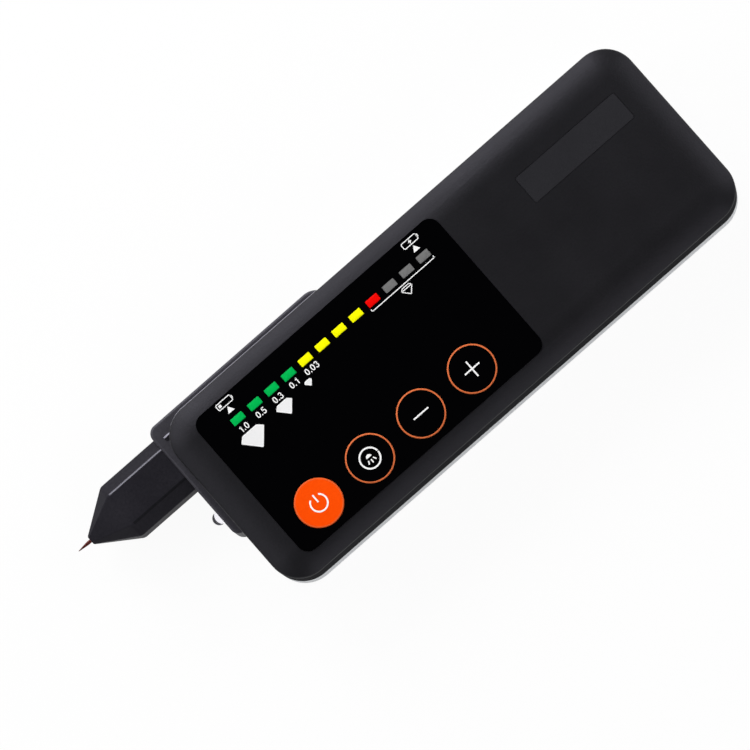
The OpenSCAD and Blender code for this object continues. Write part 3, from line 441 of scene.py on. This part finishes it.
def heated_copper():
    """Turned copper: fine rings left by the tool, and a dark red heat tint in blotches. The rings
    are drawn coarser than a real tool's feed, so that they show. The wave pattern runs through
    wave_turn radians in each unit of length."""
    material, place = start_material("heated_copper")
    ridges = add_node(material, "TexWave", {
        "Vector": place, "Scale": 2 * np.pi / (wave_turn * turning_pitch), "Distortion": 0.4},
        bands_direction="X")
    tint = add_node(material, "TexNoise", {"Vector": place, "Scale": 1 / heat_tint, "Detail": 3})
    tone = add_node(material, "Mix", {0: tint.outputs[0], 6: linear(pin_scorch), 7: linear(pin_copper)},
                    data_type="RGBA")
    relief = add_node(material, "Bump", {"Height": ridges.outputs[1], "Strength": 0.5,
                                         "Distance": turning_depth * MM})
    return finish_material(material, add_node(material, "BsdfPrincipled", {
        "Base Color": tone.outputs[2], "Metallic": 0.7, "Roughness": 0.34,
        "Normal": relief.outputs[0]}))


pin_low, pin_high = box_mm("probe_tip")
pin_r = (pin_high[1] - pin_low[1]) / 2
blunt = arc((pin_low[0] + pin_blunt_r, 0), pin_blunt_r, 180, 100, 6)
point_x = pin_low[0] + pin_point_l
pin_profile = [*blunt, (point_x - pin_point_blend, pin_r * pin_blend_share),
               (point_x + pin_point_blend, pin_r), (pin_high[0] - pin_end_chamfer, pin_r),
               (pin_high[0], pin_r - pin_end_chamfer), (pin_high[0], 0)]
add_piece("probe_pin", turned(pin_profile, (pin_low + pin_high) / 2, 0), [heated_copper()],
          "probe", ["probe_tip"])
white_nylon = moulded_plastic("white_nylon", "#dedbd2", "#efece4", roughness=0.5)
fired_alumina = moulded_plastic("fired_alumina", "#e4e0d6", "#f2f0ea", roughness=0.7, grain=0.2)
dress(plain_metal("drawn_brass", "#c79a45", roughness=0.3), "probe_guide_tube")
dress(plain_metal("spring_steel", "#9fa1a5", roughness=0.28), "probe_spring")
dress(white_nylon, "probe_carrier", "probe_end_cap")
dress(fired_alumina, "heater_bead")

# Ultraviolet lamp: a 3 mm light-emitting diode, a silvered cup cast into clear epoxy and pushed
# into the housing from behind. Its two tinned legs run up to the main board.
lamp_r = 1.5
lamp_flange_t = 1.0
dome_rings = 20
cup_mouth_r = 1.2
cup_floor_r = 0.6
cup_depth = 0.7
cup_wall = 0.12
cup_set_back = 0.4
epoxy_index = 1.2
epoxy_flow = 1.2
epoxy_flow_depth = 0.02
epoxy_roughness = (0.01, 0.05)


def clear_epoxy():
    """Clear cast epoxy: nearly colourless, with faint flow ripples on the dome. Its index is set
    low, because the bright cup inside a real lamp fills most of the view through the dome."""
    material, place = start_material("clear_epoxy")
    flow = add_node(material, "TexNoise", {"Vector": place, "Scale": 1 / epoxy_flow, "Detail": 2})
    relief = add_node(material, "Bump", {"Height": flow.outputs[0], "Strength": 0.3,
                                         "Distance": epoxy_flow_depth * MM})
    gloss = add_node(material, "MapRange", {0: flow.outputs[0], 3: epoxy_roughness[0],
                                            4: epoxy_roughness[1]})
    return finish_material(material, add_node(material, "BsdfPrincipled", {
        "Base Color": linear("#f6f5fa"), "Roughness": gloss.outputs[0], "IOR": epoxy_index,
        "Transmission Weight": 1, "Normal": relief.outputs[0]}))


lamp_low, lamp_high = box_mm("uv_lamp")
lamp_mid = (lamp_low + lamp_high) / 2
lamp_flange_r = (lamp_high[1] - lamp_low[1]) / 2
flange_x = lamp_high[0] - lamp_flange_t
dome = arc((lamp_low[0] + lamp_r, 0), lamp_r, 90, 180, dome_rings)
lamp_profile = [(lamp_high[0], 0), (lamp_high[0], lamp_flange_r), (flange_x, lamp_flange_r),
                (flange_x, lamp_r), *dome]
add_piece("lamp_dome", turned(lamp_profile, lamp_mid, 0), [clear_epoxy()], "tester",
          ["uv_lamp"])
mouth_x = base_x + cup_set_back
cup_floor_x = mouth_x + cup_depth
cup_profile = [(cup_floor_x, 0), (cup_floor_x, cup_floor_r), (mouth_x, cup_mouth_r),
               (mouth_x, cup_mouth_r + cup_wall), (cup_floor_x + cup_wall, cup_floor_r + cup_wall),
               (cup_floor_x + cup_wall, 0)]
silvered_cup = plain_metal("silvered_cup", "#d5d7da", roughness=0.25)
add_piece("lamp_cup", turned(cup_profile, lamp_mid, 0), [silvered_cup], "tester")
dress(tinned_steel, "uv_lamp_leads")

# Circuit boards: glass-epoxy laminate with solder resist. The main board hangs from the front
# shell with its switches and lamps on top; the charge board lies under the socket.
weave_pitch = 0.6
weave_depth = 0.01
track_block = 1.0
track_w = 0.12
brick_share = 0.5
board_plastics = (
    ("moulded_epoxy", "#151517", "#1f1f22", 0.55, 0.15, ("controller_chip", "charge_chip", "buzzer")),
    ("switch_body", "#222225", "#2d2d30", 0.5, mould_grain, ("key_switches",)),
    ("mask_black", "#0c0c0d", "#131315", 0.7, mould_grain, ("light_mask",)),
    ("fired_passives", "#a98a5b", "#c2a677", 0.5, 0.2, ("small_components",)),
    ("chip_silicone", "#e8d98a", "#f3ecd0", 0.4, 0.3, ("indicator_chips",)),
    ("ivory_nylon", "#e2dac6", "#efe9dc", 0.5, mould_grain, ("battery_connector",)))


def laminate(name, resist, copper_shade):
    """Solder resist over glass cloth: the cloth's weave shows faintly, and tracks lighten it.
    The tracks run round blocks, whose length is brick_share of the brick pattern's unit."""
    material, place = start_material(name)
    weave = add_node(material, "TexChecker", {"Vector": place, "Scale": 1 / weave_pitch})
    per_mm = brick_share / track_block
    tracks = add_node(material, "TexBrick", {
        "Vector": place, "Scale": per_mm, "Mortar Size": track_w * per_mm, "Color1": (0, 0, 0, 1),
        "Color2": (0, 0, 0, 1), "Mortar": (1, 1, 1, 1)})
    tone = add_node(material, "Mix", {0: tracks.outputs["Color"], 6: linear(resist),
                                      7: linear(copper_shade)}, data_type="RGBA")
    relief = add_node(material, "Bump", {"Height": weave.outputs["Fac"], "Strength": 0.2,
                                         "Distance": weave_depth * MM})
    return finish_material(material, add_node(material, "BsdfPrincipled", {
        "Base Color": tone.outputs[2], "Roughness": 0.35, "Normal": relief.outputs[0]}))


dress(laminate("green_laminate", "#17532c", "#2b7a44"), "main_board")
dress(laminate("blue_laminate", "#17336a", "#2b5093"), "charge_board")
for name, colour, sheen, roughness, grain, nodes in board_plastics:
    dress(moulded_plastic(name, colour, sheen, roughness, grain), *nodes)
dress(white_nylon, "power_plunger", "uv_plunger", "minus_plunger", "plus_plunger")
dress(tinned_steel, "board_screws")

# Battery: a lithium pouch cell, heat sealed in aluminium foil, on a soft foam pad in the rear shell.
# Its leads and the probe's are stranded copper in extruded sleeves, which shine a little.
pouch_foil = plain_metal("pouch_foil", "#aeb1b6", roughness=0.42, grain=4.0)
pad_foam = moulded_plastic("pad_foam", "#38383b", "#4d4d50", roughness=0.95, grain=0.4, depth=0.15)
red_sleeve = moulded_plastic("red_sleeve", "#a5281e", "#bf3a2d", roughness=0.45, grain=0.8)
black_sleeve = moulded_plastic("black_sleeve", "#232325", "#303033", roughness=0.45, grain=0.8)
dress(pouch_foil, "battery_cell")
dress(pad_foam, "battery_pad")
dress(red_sleeve, "battery_leads", "probe_leads")
dress(black_sleeve, "supply_leads")

# Charging socket: a shell drawn from steel sheet round a moulded nylon tongue, with gold-plated
# contacts on both faces. It sits on the charge board and opens through the rear shell's end wall.
contact_count = 12
contact_pitch = 0.5
contact_w = 0.26
contact_l = 3.0
contact_t = 0.02
contact_set_back = 0.5
tongue_t = 0.7


def joined(surfaces):
    """Several surfaces as one: their points and faces end to end."""
    starts = np.cumsum([0] + [len(points) for points, faces in surfaces])
    return (np.concatenate([points for points, faces in surfaces]),
            np.concatenate([faces + start for (points, faces), start in zip(surfaces, starts)]))


def stamp(outline, bottom, top):
    """Flat plate with a star-shaped outline, as four rings: its middle and outline below, then
    its outline and middle above."""
    middle = np.broadcast_to(outline.mean(0), outline.shape)
    rows = [(middle, bottom), (outline, bottom), (outline, top), (middle, top)]
    return surface(np.stack([np.column_stack([flat, np.full(len(flat), z)]) for flat, z in rows]))


dress(plain_metal("drawn_steel", "#b4b6b9", roughness=0.3), "socket_shell")
dress(moulded_plastic("tongue_nylon", "#121214", "#1b1b1e", roughness=0.5, grain=0.2), "socket_tongue")
tongue_low, tongue_high = box_mm("socket_tongue")
tongue_mid = (tongue_low + tongue_high) / 2
contact_y = tongue_mid[1] + (np.arange(contact_count) - (contact_count - 1) / 2) * contact_pitch
contact_z = tongue_mid[2] + np.array([-tongue_t, tongue_t]) / 2
contact_x = tongue_high[0] - contact_set_back
contact_outline = np.array([(-contact_l, -contact_w / 2), (0, -contact_w / 2), (0, contact_w / 2),
                            (-contact_l, contact_w / 2)])
contacts = joined([stamp(contact_outline + (contact_x, y), z - contact_t, z + contact_t)
                   for y in contact_y for z in contact_z])
gold_plate = plain_metal("gold_plate", "#d9b25a", roughness=0.25)
add_piece("socket_contacts", contacts, [gold_plate], "tester")

# Front shell: the large black ABS moulding with a crowned shoulder, in the same spark-eroded
# grain. It closes the case from the front. Its side walls are quite matt, and their colour is
# painted lighter: a painted sheen in place of the reflections they are left without.
shell_colour = "#0d0d0e"
shell_sheen = "#131314"
# Wall colour: a painted sheen, lighter than the shell's face, in place of the walls' reflections
shell_wall_painted_sheen_colour = "#222224"
shell_wall_gloss = 0.0005
shell_wall_z = (19.2, 20.3)
shell_abs = moulded_plastic("satin_abs_shell", shell_colour, shell_sheen, roughness=0.5, specular=0.22,
                            painted_wall_tone=(*shell_wall_z, shell_wall_gloss, shell_wall_painted_sheen_colour))
dress(shell_abs, "front_shell")

# Front panel: clear polyester film, printed black on its back and stuck into the shell's pocket
# with a film of adhesive. A blank label of matt film lies in a recess near the charging end.
panel_black = "#010102"
film_index = 1.57
peel_size = 2.5
peel_depth = 0.02
wipe_size = 20
wipe_share = 0.3


def gloss_film(name, colour, roughness, specular):
    """Gloss film printed from behind: an even colour under a faint orange-peel ripple, with gloss
    that changes a little where it has been wiped."""
    material, place = start_material(name)
    peel = add_node(material, "TexNoise", {"Vector": place, "Scale": 1 / peel_size, "Detail": 2})
    wipe = add_node(material, "TexNoise", {"Vector": place, "Scale": 1 / wipe_size, "Detail": 5})
    gloss = add_node(material, "MapRange", {0: wipe.outputs[0], 3: roughness * (1 - wipe_share),
                                            4: roughness * (1 + wipe_share)})
    relief = add_node(material, "Bump", {"Height": peel.outputs[0], "Strength": 0.25,
                                         "Distance": peel_depth * MM})
    return finish_material(material, add_node(material, "BsdfPrincipled", {
        "Base Color": linear(colour), "Roughness": gloss.outputs[0], "IOR": film_index,
        "Specular IOR Level": specular, "Normal": relief.outputs[0]}))


black_film = gloss_film("black_film", panel_black, roughness=0.12, specular=0.06)
adhesive_film = gloss_film("adhesive_film", "#a9a69a", roughness=0.5, specular=0.4)
label_film = moulded_plastic("label_film", "#1a1a1c", "#212123", roughness=0.6, grain=0.35, specular=0.2)
dress(black_film, "display_panel")
dress(adhesive_film, "panel_adhesive")
dress(label_film, "name_label")

# Light windows: small bars of tinted, light-scattering resin in a black mask behind the panel.
# Green, yellow, red and smoke grey, level with the film and slightly pillowed.
window_r = 0.15
window_edge = 0.08
window_pillow = 0.02
window_edge_steps = 4
corner_steps = 5
resin_cloud = 0.7
resin_ripple_depth = 0.01
window_kinds = (("green_windows", 4, "#00ae4a", "#00bc56", "window_green"),
                ("yellow_windows", 4, "#fafa00", "#ffff04", "window_yellow"),
                ("red_window", 1, "#ea0300", "#f60a04", "window_red"),
                ("grey_windows", 3, "#6c6c6c", "#7b7b7b", "window_grey"))


def round_rect(length, width, radius):
    """Outline of a rectangle with round corners: a quarter arc about each corner's middle."""
    turn = np.radians(np.arange(4)[:, None] * 90 + np.linspace(0, 90, corner_steps))
    middles = quadrants * (length / 2 - radius, width / 2 - radius)
    return (middles[:, None] + radius * np.stack([np.cos(turn), np.sin(turn)], -1)).reshape(-1, 2)


def pillow_bar(middle, size, bottom, top):
    """Upright bar with round corners: its outline climbs the sides, turns in over a rounded edge
    and closes to a slightly raised middle."""
    turn = np.radians(np.linspace(0, 90, window_edge_steps))
    insets = np.concatenate([[0], window_edge * (1 - np.cos(turn))])
    heights = np.concatenate([[bottom], top - window_pillow - window_edge * (1 - np.sin(turn))])
    flats = [round_rect(*(size - 2 * inset), window_r - inset) + middle for inset in insets]
    rows = [np.column_stack([flat, np.full(len(flat), z)]) for flat, z in zip(flats, heights)]
    shut = [np.tile([*middle, z], (len(rows[0]), 1)) for z in (bottom, top)]
    return surface(np.stack([shut[0], *rows, shut[1]]))


def tinted_resin(name, colour, cloud_colour):
    """Tinted acetal, moulded: milky, so lighter clouds of its own colour show in the face."""
    material, place = start_material(name)
    cloud = add_node(material, "TexNoise", {"Vector": place, "Scale": 1 / resin_cloud, "Detail": 2})
    tone = add_node(material, "Mix", {0: cloud.outputs[0], 6: linear(colour), 7: linear(cloud_colour)},
                    data_type="RGBA")
    relief = add_node(material, "Bump", {"Height": cloud.outputs[0], "Strength": 0.2,
                                         "Distance": resin_ripple_depth * MM})
    return finish_material(material, add_node(material, "BsdfPrincipled", {
        "Base Color": tone.outputs[2], "Roughness": 0.4, "Specular IOR Level": 0.06,
        "Normal": relief.outputs[0]}))


red_low, red_high = box_mm("red_window")
window_size = (red_high - red_low)[:2]
for node, count, colour, cloud_colour, slot in window_kinds:
    low, high = box_mm(node)
    row_y = (low[1] + high[1]) / 2
    row_x = np.linspace(low[0] + window_size[0] / 2, high[0] - window_size[0] / 2, count)
    bars = joined([pillow_bar(np.array([x, row_y]), window_size, low[2], high[2]) for x in row_x])
    resin = tinted_resin(node + "_tint", colour, cloud_colour)
    add_piece(node + "_resin", bars, [resin], "tester", [node])

# Buttons: round caps moulded in ABS with a gloss face, each with a flange under the shell.
# The power cap is orange and the others are black. Each has an orange ring printed on its rim.
cap_r = 5.3
cap_edge_r = 0.25
cap_edge_steps = 7
cap_rim_w = 0.36
cap_flange_t = 1.0
cap_sides = 128
ink_t = 0.02
ink_mottle = 0.3
ink_mottle_depth = 0.005


def screen_ink(name, colour, shade):
    """Screen-printed ink: an even film with the faint mottle of the screen's mesh."""
    material, place = start_material(name)
    mottle = add_node(material, "TexNoise", {"Vector": place, "Scale": 1 / ink_mottle, "Detail": 2})
    tone = add_node(material, "Mix", {0: mottle.outputs[0], 6: linear(shade), 7: linear(colour)},
                    data_type="RGBA")
    relief = add_node(material, "Bump", {"Height": mottle.outputs[0], "Strength": 0.3,
                                         "Distance": ink_mottle_depth * MM})
    return finish_material(material, add_node(material, "BsdfPrincipled", {
        "Base Color": tone.outputs[2], "Roughness": 0.45, "Specular IOR Level": 0.08,
        "Normal": relief.outputs[0]}))


rim_ink = screen_ink("orange_ink", "#de7444", "#d4693a")
power_rim_ink = screen_ink("power_rim_ink", "#ec622b", "#e65a24")
orange_abs = moulded_plastic("orange_abs", "#fb4a00", "#ff5203", roughness=0.4, depth=smooth_depth,
                             specular=0.06)
cap_kinds = {"power": ("button_orange", orange_abs, power_rim_ink)}
cap_kinds.update({key: ("button_black", black_film, rim_ink) for key in ("uv", "minus", "plus")})
cap_middles = {}
for key, (slot, face, rim) in cap_kinds.items():
    low, high = box_mm(key + "_button")
    cap_middles[key] = (low + high)[:2] / 2
    top = high[2] - ink_t
    flange_top = low[2] + cap_flange_t
    flange_r = (high - low)[0] / 2
    stem = [(low[2], 0), (low[2], flange_r), (flange_top, flange_r), (flange_top, cap_r)]
    edge = arc((cap_r - cap_edge_r, top - cap_edge_r), cap_edge_r, 0, 90, cap_edge_steps)
    cap_profile = [*stem, *edge[:, ::-1], (top, cap_r - cap_rim_w), (top, 0)]
    made = turned(cap_profile, (*cap_middles[key], 0), 2, cap_sides)
    ring = np.arange(len(cap_profile) - 1).repeat(cap_sides)
    inks = ((ring >= len(stem)) & (ring < len(cap_profile) - 2)).astype(np.int32)
    add_piece(key + "_cap", made, [face, rim], key + "_key", [key + "_button"], inks)

# Cap icons: white ink, screen printed on the finished caps as a power sign, a shining lamp, a
# minus and a plus. It stands two hundredths of a millimetre above the cap's face.
icon_w = 0.37
power_ring_r = 1.86
power_gap = 35
power_bar = ((0, 0.2), (0, 2.1))
lamp_ring_r = 2.23
lamp_sign_r = 0.68
lamp_sign_y = 0.25
ray_w = 0.28
rays = (((0, -0.3), (0, -1.2)), ((-0.6, -0.25), (-1.0, -0.95)), ((0.6, -0.25), (1.0, -0.95)))
sign_l = 4.0
sign_w = 0.34


def ribbon(path, width, bottom, top):
    """Flat stroke of ink: a thin rectangle carried along a path."""
    side = np.array([-width / 2, width / 2])
    section = np.array([(side[0], bottom), (side[1], bottom), (side[1], top), (side[0], top)])
    return swept_bar(np.asarray(path, float), section)


white_ink = screen_ink("white_ink", "#fdfdfd", "#f5f5f5")
ink_top = box_mm("power_button")[1][2]
ink_bottom = ink_top - 2 * ink_t
cap_strokes = {
    "power": [(icon_w, arc((0, 0), power_ring_r, 90 + power_gap, 450 - power_gap, 64)),
              (icon_w, power_bar)],
    "uv": [(icon_w, arc((0, 0), lamp_ring_r, 0, 365, 72)), *[(ray_w, ray) for ray in rays]],
    "minus": [(sign_w, ((-sign_l / 2, 0), (sign_l / 2, 0)))],
    "plus": []}
plus_arm = np.array([(sign_l, -sign_w), (sign_l, sign_w), (sign_w, sign_w)]) / 2
quarter_turn = np.array([[0, 1], [-1, 0]])
plus_sign = np.concatenate([plus_arm @ np.linalg.matrix_power(quarter_turn, i) for i in range(4)])
cap_fills = {"uv": [arc((0, lamp_sign_y), lamp_sign_r, 0, 180, 24)], "plus": [plus_sign]}
for key, strokes in cap_strokes.items():
    middle = cap_middles[key]
    drawn = [ribbon(path + middle, width, ink_bottom, ink_top) for width, path in strokes]
    drawn += [stamp(fill + middle, ink_bottom, ink_top) for fill in cap_fills.get(key, ())]
    add_piece(key + "_icon", joined(drawn), [white_ink], key + "_key")

# Panel print: white ink, screen printed on the film as scale numbers, marker triangles and rims
# round the cut-stone signs for the size ranges. The signs are filled with a slightly greyer ink.
digit_h = 1.42
digit_w = 0.23
number_y = 10.57
numbers = (("1.0", -48.5), ("0.5", -43.8), ("0.3", -39.1), ("0.1", -34.5), ("0.03", -29.65))
marks = ((-48.35, 15.5), (3.2, 15.3))
mark_size = (1.7, 1.4)
stones = ((-48.2, 9.27, 0.92), (-39.15, 9.27, 0.635), (-32.15, 9.25, 0.28))
stone_half = 3.3
stone_table = 2.05
stone_girdle = 1.15
stone_culet = 4.85
stone_rim_w = 0.16

# Strokes of each digit and its step to the next one, in digit heights
digit_strokes = {
    "0": (0.72, [arc((0.32, 0.5), (0.235, 0.43), 90, 455, 40)]),
    "1": (0.62, [((0.14, 0.72), (0.36, 0.93)), ((0.36, 1.0), (0.36, 0.0))]),
    "3": (0.72, [np.concatenate([arc((0.31, 0.72), (0.2, 0.2), 165, -90, 20)[:-1],
                                 arc((0.31, 0.27), (0.24, 0.24), 90, -165, 20)])]),
    "5": (0.72, [((0.54, 0.92), (0.14, 0.92)), ((0.17, 0.98), (0.12, 0.46)),
                 arc((0.31, 0.3), (0.24, 0.26), 135, -155, 24)]),
    ".": (0.34, [((0.14, 0.0), (0.14, 0.17))])}


def number_strokes(text, middle_x):
    """Strokes of a number, its digits set side by side and centred on middle_x."""
    steps = np.cumsum([0] + [digit_strokes[digit][0] for digit in text])
    start = np.array([middle_x - steps[-1] * digit_h / 2, number_y - digit_h / 2])
    return [np.array(path) * digit_h + start + (step * digit_h, 0)
            for digit, step in zip(text, steps) for path in digit_strokes[digit][1]]


def stone_outline(x, y, share):
    """Outline of a cut stone seen from the side: table, girdle and culet."""
    points = [(-stone_table, 0), (-stone_half, -stone_girdle), (0, -stone_culet),
              (stone_half, -stone_girdle), (stone_table, 0)]
    return np.array(points) * share + (x, y)


def ink_stamp(outline):
    """Filled print on the panel."""
    return stamp(outline, panel_top - ink_t, panel_top + ink_t)


def ink_line(path, width):
    """Stroke printed on the panel."""
    return ribbon(path, width, panel_top - ink_t, panel_top + ink_t)


def ink_rim(outline, width):
    """Outline printed on the panel, one straight stroke for each side."""
    return [ink_line(side, width) for side in zip(outline, np.roll(outline, -1, 0))]


panel_top = box_mm("display_panel")[1][2]
triangle = np.array([(-0.5, -0.5), (0.5, -0.5), (0, 0.5)]) * mark_size
scale_print = [ink_line(path, digit_w) for text, x in numbers for path in number_strokes(text, x)]
scale_print += [ink_stamp(triangle + place) for place in marks]
for stone in stones:
    scale_print += ink_rim(stone_outline(*stone), stone_rim_w)
add_piece("panel_print", joined(scale_print), [white_ink], "tester")
stone_fills = joined([stamp(stone_outline(*stone), panel_top - ink_t, panel_top + ink_t / 2)
                      for stone in stones])
grey_ink = screen_ink("grey_ink", "#f1f1f2", "#e9e9ea")
add_piece("stone_print", stone_fills, [grey_ink], "tester")

# Sign print: a low cell and a charging cell over the two marker triangles, and a bracket with
# a cut stone under the last four windows, in the same white ink as the scale.
fine_w = 0.2
cell_signs = ((-48.35, 17.2), (3.2, 17.05))
cell_size = (3.8, 1.35)
cell_r = 0.3
cell_nub = (0.3, 0.7)
cell_nub_r = 0.1
charge_bar = (0.65, 0.65)
charge_bar_r = 0.05
charge_bar_x = -1.15
bolt = np.array([(0.25, 0.55), (-0.5, -0.08), (-0.06, -0.08), (-0.25, -0.55), (0.5, 0.08), (0.06, 0.08)])
range_x = (-12.3, 4.9)
range_y = 11.1
range_tick = 0.5
range_stone = (-3.7, 10.55, 0.42)
cell_frame = round_rect(*cell_size, cell_r)
nub_x = (cell_size[0] + cell_nub[0]) / 2
sign_print = []
for place in cell_signs:
    frame_path = np.concatenate([cell_frame, cell_frame[:2]]) + place
    nub = round_rect(*cell_nub, cell_nub_r) + (nub_x, 0) + place
    sign_print += [ink_line(frame_path, fine_w), ink_stamp(nub)]
low_charge = round_rect(*charge_bar, charge_bar_r) + cell_signs[0] + (charge_bar_x, 0)
sign_print += [ink_stamp(low_charge), ink_stamp(bolt + cell_signs[1])]
sign_print += [ink_line([(x, range_y) for x in range_x], fine_w)]
sign_print += [ink_line([(x, range_y - fine_w / 2), (x, range_y + range_tick)], fine_w) for x in range_x]
range_outline = stone_outline(*range_stone)
sign_print += [*ink_rim(range_outline, fine_w), ink_line(range_outline[[1, 3]], fine_w)]
add_piece("sign_print", joined(sign_print), [white_ink], "tester")

# Case screws: zinc-plated steel pan heads with a pressed cross recess, sunk into the rear face.
# They hold the front shell and the probe housing down on the rear shell.
screw_places = ((-56.6, -15.8), (56.6, -15.8), (56.6, 15.8), (17.95, 15.8), (-56.45, 7.55),
                (-23.5, 17.85))
screw_sides = 120
face_rings = 44
head_r = 2.4
head_h = 1.6
head_dome = 0.35
shank_r = 1.3
shank_end = (0.4, 0.6)
cross_w = 0.75
cross_l = 3.3
cross_depth = 0.85
cross_wall = 0.14


def cross_screw(place, low, seat, end):
    """Screw with its head down: rings from the head's middle to its rim, up the shank to its end.
    The face of the head is a shallow dome, and the recess is deepest where both arms of the
    cross cover it; its walls slope over cross_wall."""
    turn = np.linspace(0, 2 * np.pi, screw_sides, endpoint=False)
    radius = np.concatenate([np.linspace(0, head_r, face_rings),
                             [head_r, shank_r, shank_r, shank_r - shank_end[0], 0]])
    height = np.concatenate([low + head_dome * np.linspace(0, 1, face_rings) ** 2,
                             [seat, seat, end - shank_end[1], end, end]])
    x = radius[:, None] * np.cos(turn)
    y = radius[:, None] * np.sin(turn)
    across = np.clip((cross_w / 2 - np.minimum(abs(x), abs(y))) / cross_wall, 0, 1)
    along = np.clip((cross_l / 2 - np.maximum(abs(x), abs(y))) / cross_wall, 0, 1)
    face = np.arange(len(radius))[:, None] < face_rings
    z = height[:, None] + np.where(face, cross_depth * across * along, 0)
    return surface(np.stack([x + place[0], y + place[1], z], -1))


screw_low, screw_high = box_mm("case_screws")
screws = joined([cross_screw(place, screw_low[2], screw_low[2] + head_h, screw_high[2])
                 for place in screw_places])
zinc_steel = plain_metal("zinc_steel", "#84868a", roughness=0.36)
add_piece("case_screw_set", screws, [zinc_steel], "tester", ["case_screws"], sharp=30)

# Floor and room: a pale studio floor just under the rear face, in a dim room. The room looks white
# to the camera and through the clear lamp, and a tenth as bright in the object's reflections.
floor_half = 6.0
floor_z = -0.05 * MM
floor_white = "#f4f4f4"
shadow_share = 0.06
mirror_share = 0.5
room_low = 0.04
room_high = 0.02
room_fade = (0.0, 0.7)
room_mirror_share = 0.1


def studio_floor():
    """Matt white floor that looks fully lit to the eye and in reflections, but keeps a soft shadow.
    It is clear from below."""
    material = start_material("studio_floor")[0]
    seen = add_node(material, "LightPath").outputs
    clear = add_node(material, "Math", {0: seen["Is Camera Ray"], 1: seen["Is Transmission Ray"]},
                     operation="MAXIMUM")
    mirrored = add_node(material, "Math", {0: seen["Is Glossy Ray"], 1: mirror_share},
                        operation="MULTIPLY")
    share = add_node(material, "Math", {0: clear.outputs[0], 1: 1 - shadow_share,
                                        2: mirrored.outputs[0]}, operation="MULTIPLY_ADD")
    matt = add_node(material, "BsdfDiffuse", {"Color": linear(floor_white)})
    lit = add_node(material, "Emission", {"Color": (1, 1, 1, 1), "Strength": 1})
    top = add_node(material, "MixShader", {0: share.outputs[0], 1: matt.outputs[0], 2: lit.outputs[0]})
    below = add_node(material, "NewGeometry").outputs["Backfacing"]
    clear_side = add_node(material, "BsdfTransparent")
    return finish_material(material, add_node(material, "MixShader", {
        0: below, 1: top.outputs[0], 2: clear_side.outputs[0]}))


floor_mesh = bpy.data.meshes.new("floor")
floor_corners = floor_half * np.array([(-1, -1), (1, -1), (1, 1), (-1, 1)])
floor_points = np.column_stack([floor_corners, np.full(4, floor_z)])
floor_mesh.from_pydata(floor_points.tolist(), [], [(0, 1, 2, 3)])
floor_mesh.materials.append(studio_floor())
floor = bpy.data.objects.new("floor", floor_mesh)
bpy.context.scene.collection.objects.link(floor)

room = bpy.data.worlds.new("room")
room.use_nodes = True
room.node_tree.nodes.clear()
aim = add_node(room, "TexCoord").outputs["Generated"]
up = add_node(room, "SeparateXYZ", {0: aim}).outputs[2]
shade = add_node(room, "MapRange", {0: up, 1: room_fade[0], 2: room_fade[1], 3: room_low, 4: room_high})
room_seen = add_node(room, "LightPath").outputs
backdrop = add_node(room, "Math", {0: room_seen["Is Camera Ray"], 1: room_seen["Is Transmission Ray"]},
                    operation="MAXIMUM")
room_mirror = add_node(room, "Math", {0: room_seen["Is Glossy Ray"], 1: room_mirror_share},
                       operation="MULTIPLY")
mirrored = add_node(room, "Math", {0: shade.outputs[0], 1: room_mirror.outputs[0]}, operation="MAXIMUM")
strength = add_node(room, "Math", {0: mirrored.outputs[0], 1: backdrop.outputs[0]}, operation="MAXIMUM")
glow = add_node(room, "Background", {"Color": (1, 1, 1, 1), "Strength": strength.outputs[0]})
add_node(room, "OutputWorld", {"Surface": glow.outputs[0]})
bpy.context.scene.world = room

# Studio lamps: soft panels all round, strongest on the probe side. Each has a name, a bearing from
# the charging end and a height in degrees, a size in metres and its watts.
lamp_distance = 1.0
high_panel = (0.5, 0.5)
low_panel = (0.8, 0.25)
studio_lamps = (
    ("probe_side", 90, 36, high_panel, 6.0), ("probe_corner", 135, 36, high_panel, 3.4),
    ("low_probe_side", 90, 8, low_panel, 3.5), ("charging_end", 0, 36, high_panel, 2.9),
    ("low_charging_end", 0, 8, low_panel, 2.4), ("nose_end", 180, 36, high_panel, 1.5),
    ("button_side", 270, 36, high_panel, 2.6), ("low_button_side", 270, 8, low_panel, 1.2))
for name, bearing, height, size, watts in studio_lamps:
    around, rise = np.radians([bearing, height])
    level = np.array([np.cos(around), np.sin(around)]) * np.cos(rise)
    place = lamp_distance * Vector((*level, np.sin(rise)))
    light = bpy.data.lights.new(name, "AREA")
    light.shape = "RECTANGLE"
    light.size, light.size_y = size
    light.energy = watts
    holder = bpy.data.objects.new(name, light)
    holder.matrix_world = Matrix.Translation(place) @ place.to_track_quat("Z", "Y").to_matrix().to_4x4()
    bpy.context.scene.collection.objects.link(holder)

# Camera: a long lens nearly straight above the front face, tilted towards the button side and
# rolled, so that the tester lies across the picture from corner to corner.
lens = 400.0
sensor = 36.0
view_width = 158.0
view_middle = (-20.7, 1.64, 12.75)
tilt = np.radians(5.9)
roll = np.radians(41.2)
toward = np.array([0, -np.sin(tilt), np.cos(tilt)])
over_x = np.array([1.0, 0, 0])
over_y = np.array([0, np.cos(tilt), np.sin(tilt)])
right = np.cos(roll) * over_x - np.sin(roll) * over_y
upward = np.sin(roll) * over_x + np.cos(roll) * over_y
eye = np.array(view_middle) * MM + toward * view_width * MM * lens / sensor
camera = bpy.data.cameras.new("camera")
camera.lens = lens
camera.sensor_width = sensor
camera_holder = bpy.data.objects.new("camera", camera)
camera_turn = Matrix(np.stack([right, upward, toward], 1).tolist()).to_4x4()
camera_holder.matrix_world = Matrix.Translation(eye.tolist()) @ camera_turn
bpy.context.scene.collection.objects.link(camera_holder)
bpy.context.scene.camera = camera_holder
bpy.context.scene.view_settings.view_transform = "Standard"
